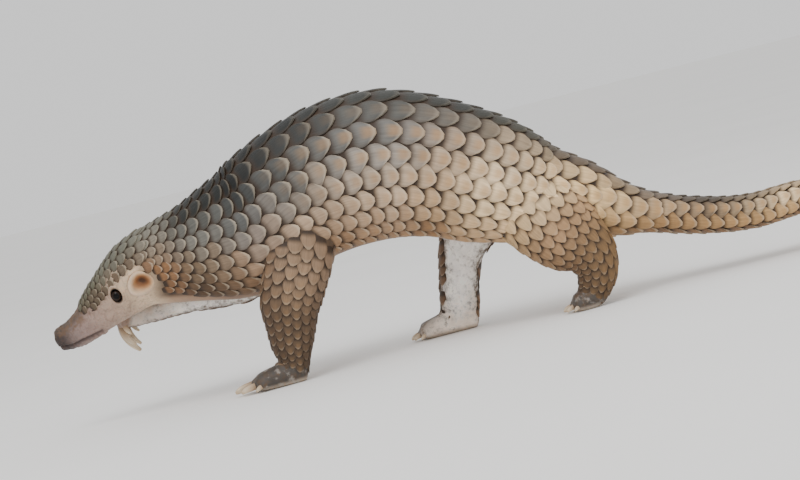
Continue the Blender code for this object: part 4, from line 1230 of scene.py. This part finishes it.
def claw_material():
    """Claw horn: ivory towards the point, brown and dirty at the root, polished by digging."""
    material, tree, shader = new_material("claw horn", 0.36)
    marks = marked(tree, "grain")
    stops = ((0.0, "#7d6650"), (0.35, "#b59b7e"), (0.8, "#d9c7ad"), (1.0, "#c9b08f"))
    colour = add(tree, "ShaderNodeValToRGB", {0: marks[1]}, stops=stops)[0]
    streaks = streaks_along(tree, marks, 0.1, 1.0, Scale=6.0)
    colour = toned(tree, colour, streaks, (0.3, 0.7), (0.82, 1.1))
    dress(tree, shader, colour, streaks, 0.3, 0.0003)
    return material


def eye_material():
    """A wet, almost black eye, with a brown ring of iris that shows only close up."""
    material, tree, shader = new_material("wet dark eye", 0.12, 0.16)
    _, ring, _ = marked(tree, "grain")
    stops = ((0.0, "#050404"), (0.30, "#070505"), (0.36, "#24150c"), (0.62, "#1a100b"), (0.70, "#0a0706"))
    colour = add(tree, "ShaderNodeValToRGB", {0: ring}, stops=stops)[0]
    tree.links.new(colour, shader.inputs["Base Color"])
    return material


def ear_material():
    """Thin ear skin: cream at the rolled rim, brown and shaded in the hollow."""
    material, tree, shader = new_material("thin ear skin", 0.5)
    lean, ring, _ = marked(tree, "grain")
    # The hollow's brown reaches farther out where the rim is lower.
    leaned = add(tree, "ShaderNodeMath", {0: lean, 1: 0.16}, operation="MULTIPLY")[0]
    leaned = add(tree, "ShaderNodeMath", {0: leaned, 1: ring}, operation="ADD")[0]
    stops = (
        (0.0, "#4e3322"), (0.22, "#8a5c3a"), (0.40, "#b5875e"), (0.56, "#cfae8c"), (0.82, "#d8bfa6"),
        (1.0, "#b89c86"),
    )
    colour = add(tree, "ShaderNodeValToRGB", {0: leaned}, stops=stops)[0]
    where = add(tree, "ShaderNodeTexCoord")["Object"]
    mottle = add(tree, "ShaderNodeTexNoise", {"Vector": where, "Scale": 260.0, "Detail": 4.0})[0]
    colour = toned(tree, colour, mottle, (0.3, 0.7), (0.86, 1.08))
    dress(tree, shader, colour, mottle, 0.3, 0.0004)
    let_light_in(shader, 0.15)
    return material


def claw_pieces(material):
    """The horn of each claw, a tube over its rows."""
    for name in LEGS:
        kind, side = ("fore" if name.startswith("fore") else "hind"), name.split("_")[1]
        for number, (_, _, _, rows) in enumerate(toes(name), start=1):
            sweep = Sweep(rows, 0.1)
            points, faces = tube(sweep, sweep.length / 14, 14)
            piece = mesh_piece(f"horn_{kind}_{side}_{number}", points, faces)
            s, angle, _ = sweep.locate(points)
            own = np.full(len(s), number * 3.0)
            mark(piece, "grain", np.stack((angle / math.pi, s / sweep.length, own), axis=1))
            finish_piece(piece, material, [f"claw_{kind}_{side}_{number}"])


def eye_pieces(material):
    """Each eye is a ball with a slightly raised cornea, sunk into its lids."""
    for side, word in ((-1, "left"), (1, "right")):
        s, angle = trunk.spot(*EYE_AT, side)
        _, along, across, out = trunk.skin_frame(s, angle)
        centre = trunk.points(s, angle, -EYE_SINK)
        turn = np.stack((along, across, out), axis=1)
        points, faces = lobe(np.zeros(3), np.ones(3), np.identity(3), 40, 26)
        lean = np.arccos(np.clip(points[:, 2], -1, 1)) / math.pi
        cornea = 1.0 + 0.05 * bump(lean, 0.16)
        placed = (points * EYE_RADIUS * 0.97 * cornea[:, None]) @ turn.T + centre
        piece = mesh_piece(f"eyeball_{word}", placed, faces)
        mark(piece, "grain", np.stack((points[:, 0], lean * 2, points[:, 1]), axis=1))
        finish_piece(piece, material, [f"eye_{word}"])


# The ear's section from its middle outwards: share of its radius, height off the skin in mm.
EAR_SECTION = (
    (0.10, -1.9), (0.28, -1.7), (0.44, -1.0), (0.58, 0.4), (0.72, 1.8), (0.84, 2.7), (0.95, 3.0),
    (1.06, 2.6), (1.14, 1.4), (1.20, -0.4), (1.16, -2.2),
)
EAR_POINTS_ROUND = 36
# The turn round the ear at which its rim stands highest, in radians, and how deep under the skin the
# hollow's middle and the ear's root end, in mm.
EAR_HIGH_AT = 2.4
EAR_HOLLOW_END = 1.95
EAR_ROOT_END = 2.6


def ear_pieces(material):
    """Each ear is a rolled rim round a hollow, seated in the skin."""
    rings = len(EAR_SECTION)
    for side, word in ((-1, "left"), (1, "right")):
        spot, along, across, out = trunk.skin_frame(*trunk.spot(*EAR_AT, side))
        points, marks = [], []
        for j, (share, height) in enumerate(EAR_SECTION):
            for k in range(EAR_POINTS_ROUND):
                t = 2 * math.pi * k / EAR_POINTS_ROUND
                rolled = 1.0 + 0.10 * math.sin(t - 0.6) + 0.05 * math.sin(3 * t)
                lean = math.cos(t - EAR_HIGH_AT)
                high = height * (0.80 + 0.35 * lean) if height > 0 else height
                flat = along * math.cos(t) * EAR_RADII[0] + across * side * math.sin(t) * EAR_RADII[1]
                points.append(spot + flat * share * rolled + out * high)
                marks.append((lean, j / (rings - 1), 0.0))
        points += [spot - out * EAR_HOLLOW_END, spot - out * EAR_ROOT_END]
        marks += [(0.0, 0.0, 0.0), (0.0, 1.0, 0.0)]
        piece = mesh_piece(f"ear_rim_{word}", np.array(points), ring_faces(rings, EAR_POINTS_ROUND))
        mark(piece, "grain", marks)
        finish_piece(piece, material, [f"ear_{word}"])


TAIL_NODES = ["tail_base", "tail_fore", "tail_middle", "tail_tip"]
BODY_NODES = ["neck", "shoulders", "torso", "hips"]

# Shares of the full height at which scales stand, by where they lie.
CROWN_LIFT = 1.7
TAIL_LIFT = 0.95
LEG_LIFT = 0.8
FOOT_LIFT = 0.7
# Corners between faces steeper than this, in degrees, stay sharp on the scales.
SCALE_SHARP = 40
# Places in the bake map: the corner and extent of the trunk's scales, then the legs' side by side.
TRUNK_SHEET = ((0.02, 0.02), (0.96, 0.56))
LEG_STRIP = 0.245


def coat(tree, face_tree):
    """All the scales, in pieces that each take the place of the nodes under them."""
    horn = scale_material("weathered back scales", SCALE_ZONES, 0.45, 0.55)
    crown = lay_scales("crown_scales", trunk, crown_places(), face_tree, TRUNK_SHEET, CROWN_LIFT)
    finish_piece(crown, horn, ["head"], SCALE_SHARP)
    back = lay_scales("body_scales", trunk, body_places(), tree, TRUNK_SHEET)
    finish_piece(back, horn, BODY_NODES, SCALE_SHARP)
    tail = lay_scales("tail_scales", trunk, tail_places(), tree, TRUNK_SHEET, TAIL_LIFT, TAIL_TIP_ROUND)
    finish_piece(tail, horn, TAIL_NODES, SCALE_SHARP)
    for number, name in enumerate(LEGS):
        horn = scale_material(f"worn {name.replace('_', ' ')} scales", LEG_ZONES[name], 0.20, 0.15)
        left = 0.02 + LEG_STRIP * number
        strip = ((left, 0.62), (0.21, 0.36))
        piece = lay_scales(f"{name}_scales", legs[name], leg_places(name), tree, strip, LEG_LIFT)
        finish_piece(piece, horn, [name], SCALE_SHARP)
        # The far feet show their bare inner side, so they have no scales.
        if name.endswith("right"):
            continue
        sole = soles[name]
        strip = ((left, 0.60), (0.21, 0.02))
        piece = lay_scales(f"{name}_foot_scales", sole, foot_places(sole), tree, strip, FOOT_LIFT)
        finish_piece(piece, horn, [name], SCALE_SHARP)


def camera():
    """The photograph's view, rolled by the slope of the ground in it."""
    right = Vector((math.cos(SLOPE), 0, -math.sin(SLOPE)))
    up = Vector((math.sin(SLOPE), 0, math.cos(SLOPE)))
    level = Vector((0, 1, 0))
    look = level * math.cos(DIP) - up * math.sin(DIP)
    top = up * math.cos(DIP) + level * math.sin(DIP)
    place = Matrix((right, top, -look)).transposed().to_4x4()
    place.translation = Vector(to_metres(VIEW_CENTRE)) - look * VIEW_WIDTH * LENS / SENSOR * MM
    made = bpy.data.objects.new("camera", bpy.data.cameras.new("camera"))
    made.data.lens = LENS
    made.data.sensor_width = SENSOR
    made.data.clip_start = 0.05
    made.matrix_world = place
    bpy.context.scene.collection.objects.link(made)
    bpy.context.scene.camera = made


# Lamps: name, place and size in metres, power in watts. The sky is a grey of this strength.
LAMPS = (("key", (-0.5, -1.1, 1.9), 1.3, 21), ("fill", (1.3, -1.3, 0.8), 1.4, 4))
LAMPS_LOOK_AT = (0, 0, 0.1)
SKY = (0.90, 0.90, 0.90, 1)
SKY_STRENGTH = 1.08


def studio():
    """A plain pale floor, a large soft key light from above the head, a fill light and a grey sky."""
    bpy.ops.mesh.primitive_plane_add(size=60)
    floor = bpy.context.object
    floor.name = "floor"
    material, tree, shader = new_material("matt studio floor", 0.8)
    where = add(tree, "ShaderNodeTexCoord")["Object"]
    cloud = add(tree, "ShaderNodeTexNoise", {"Vector": where, "Scale": 3.0, "Detail": 2.0})[0]
    colour = add(tree, "ShaderNodeValToRGB", {0: cloud}, stops=((0.3, "#f7f6f4"), (0.7, "#faf9f7")))[0]
    tree.links.new(colour, shader.inputs["Base Color"])
    floor.data.materials.append(material)
    for name, place, size, power in LAMPS:
        light = bpy.data.lights.new(name, "AREA")
        light.size = size
        light.energy = power
        lamp = bpy.data.objects.new(name, light)
        lamp.location = place
        towards = Vector(LAMPS_LOOK_AT) - Vector(place)
        lamp.rotation_euler = towards.to_track_quat("-Z", "Y").to_euler()
        bpy.context.scene.collection.objects.link(lamp)
    world = bpy.data.worlds.new("studio")
    bpy.context.scene.world = world
    world.use_nodes = True
    sky = world.node_tree.nodes["Background"]
    sky.inputs["Color"].default_value = SKY
    sky.inputs["Strength"].default_value = SKY_STRENGTH


camera()
studio()
skin = raw_skin()
smooth_tree = skin_tree(skin)
head_detail(skin)
coat(smooth_tree, skin_tree(skin))
skin_marks(skin)
finish_piece(skin, skin_material(), ["head", *BODY_NODES, *TAIL_NODES, *LEGS], 180)
claw_pieces(claw_material())
eye_pieces(eye_material())
ear_pieces(ear_material())
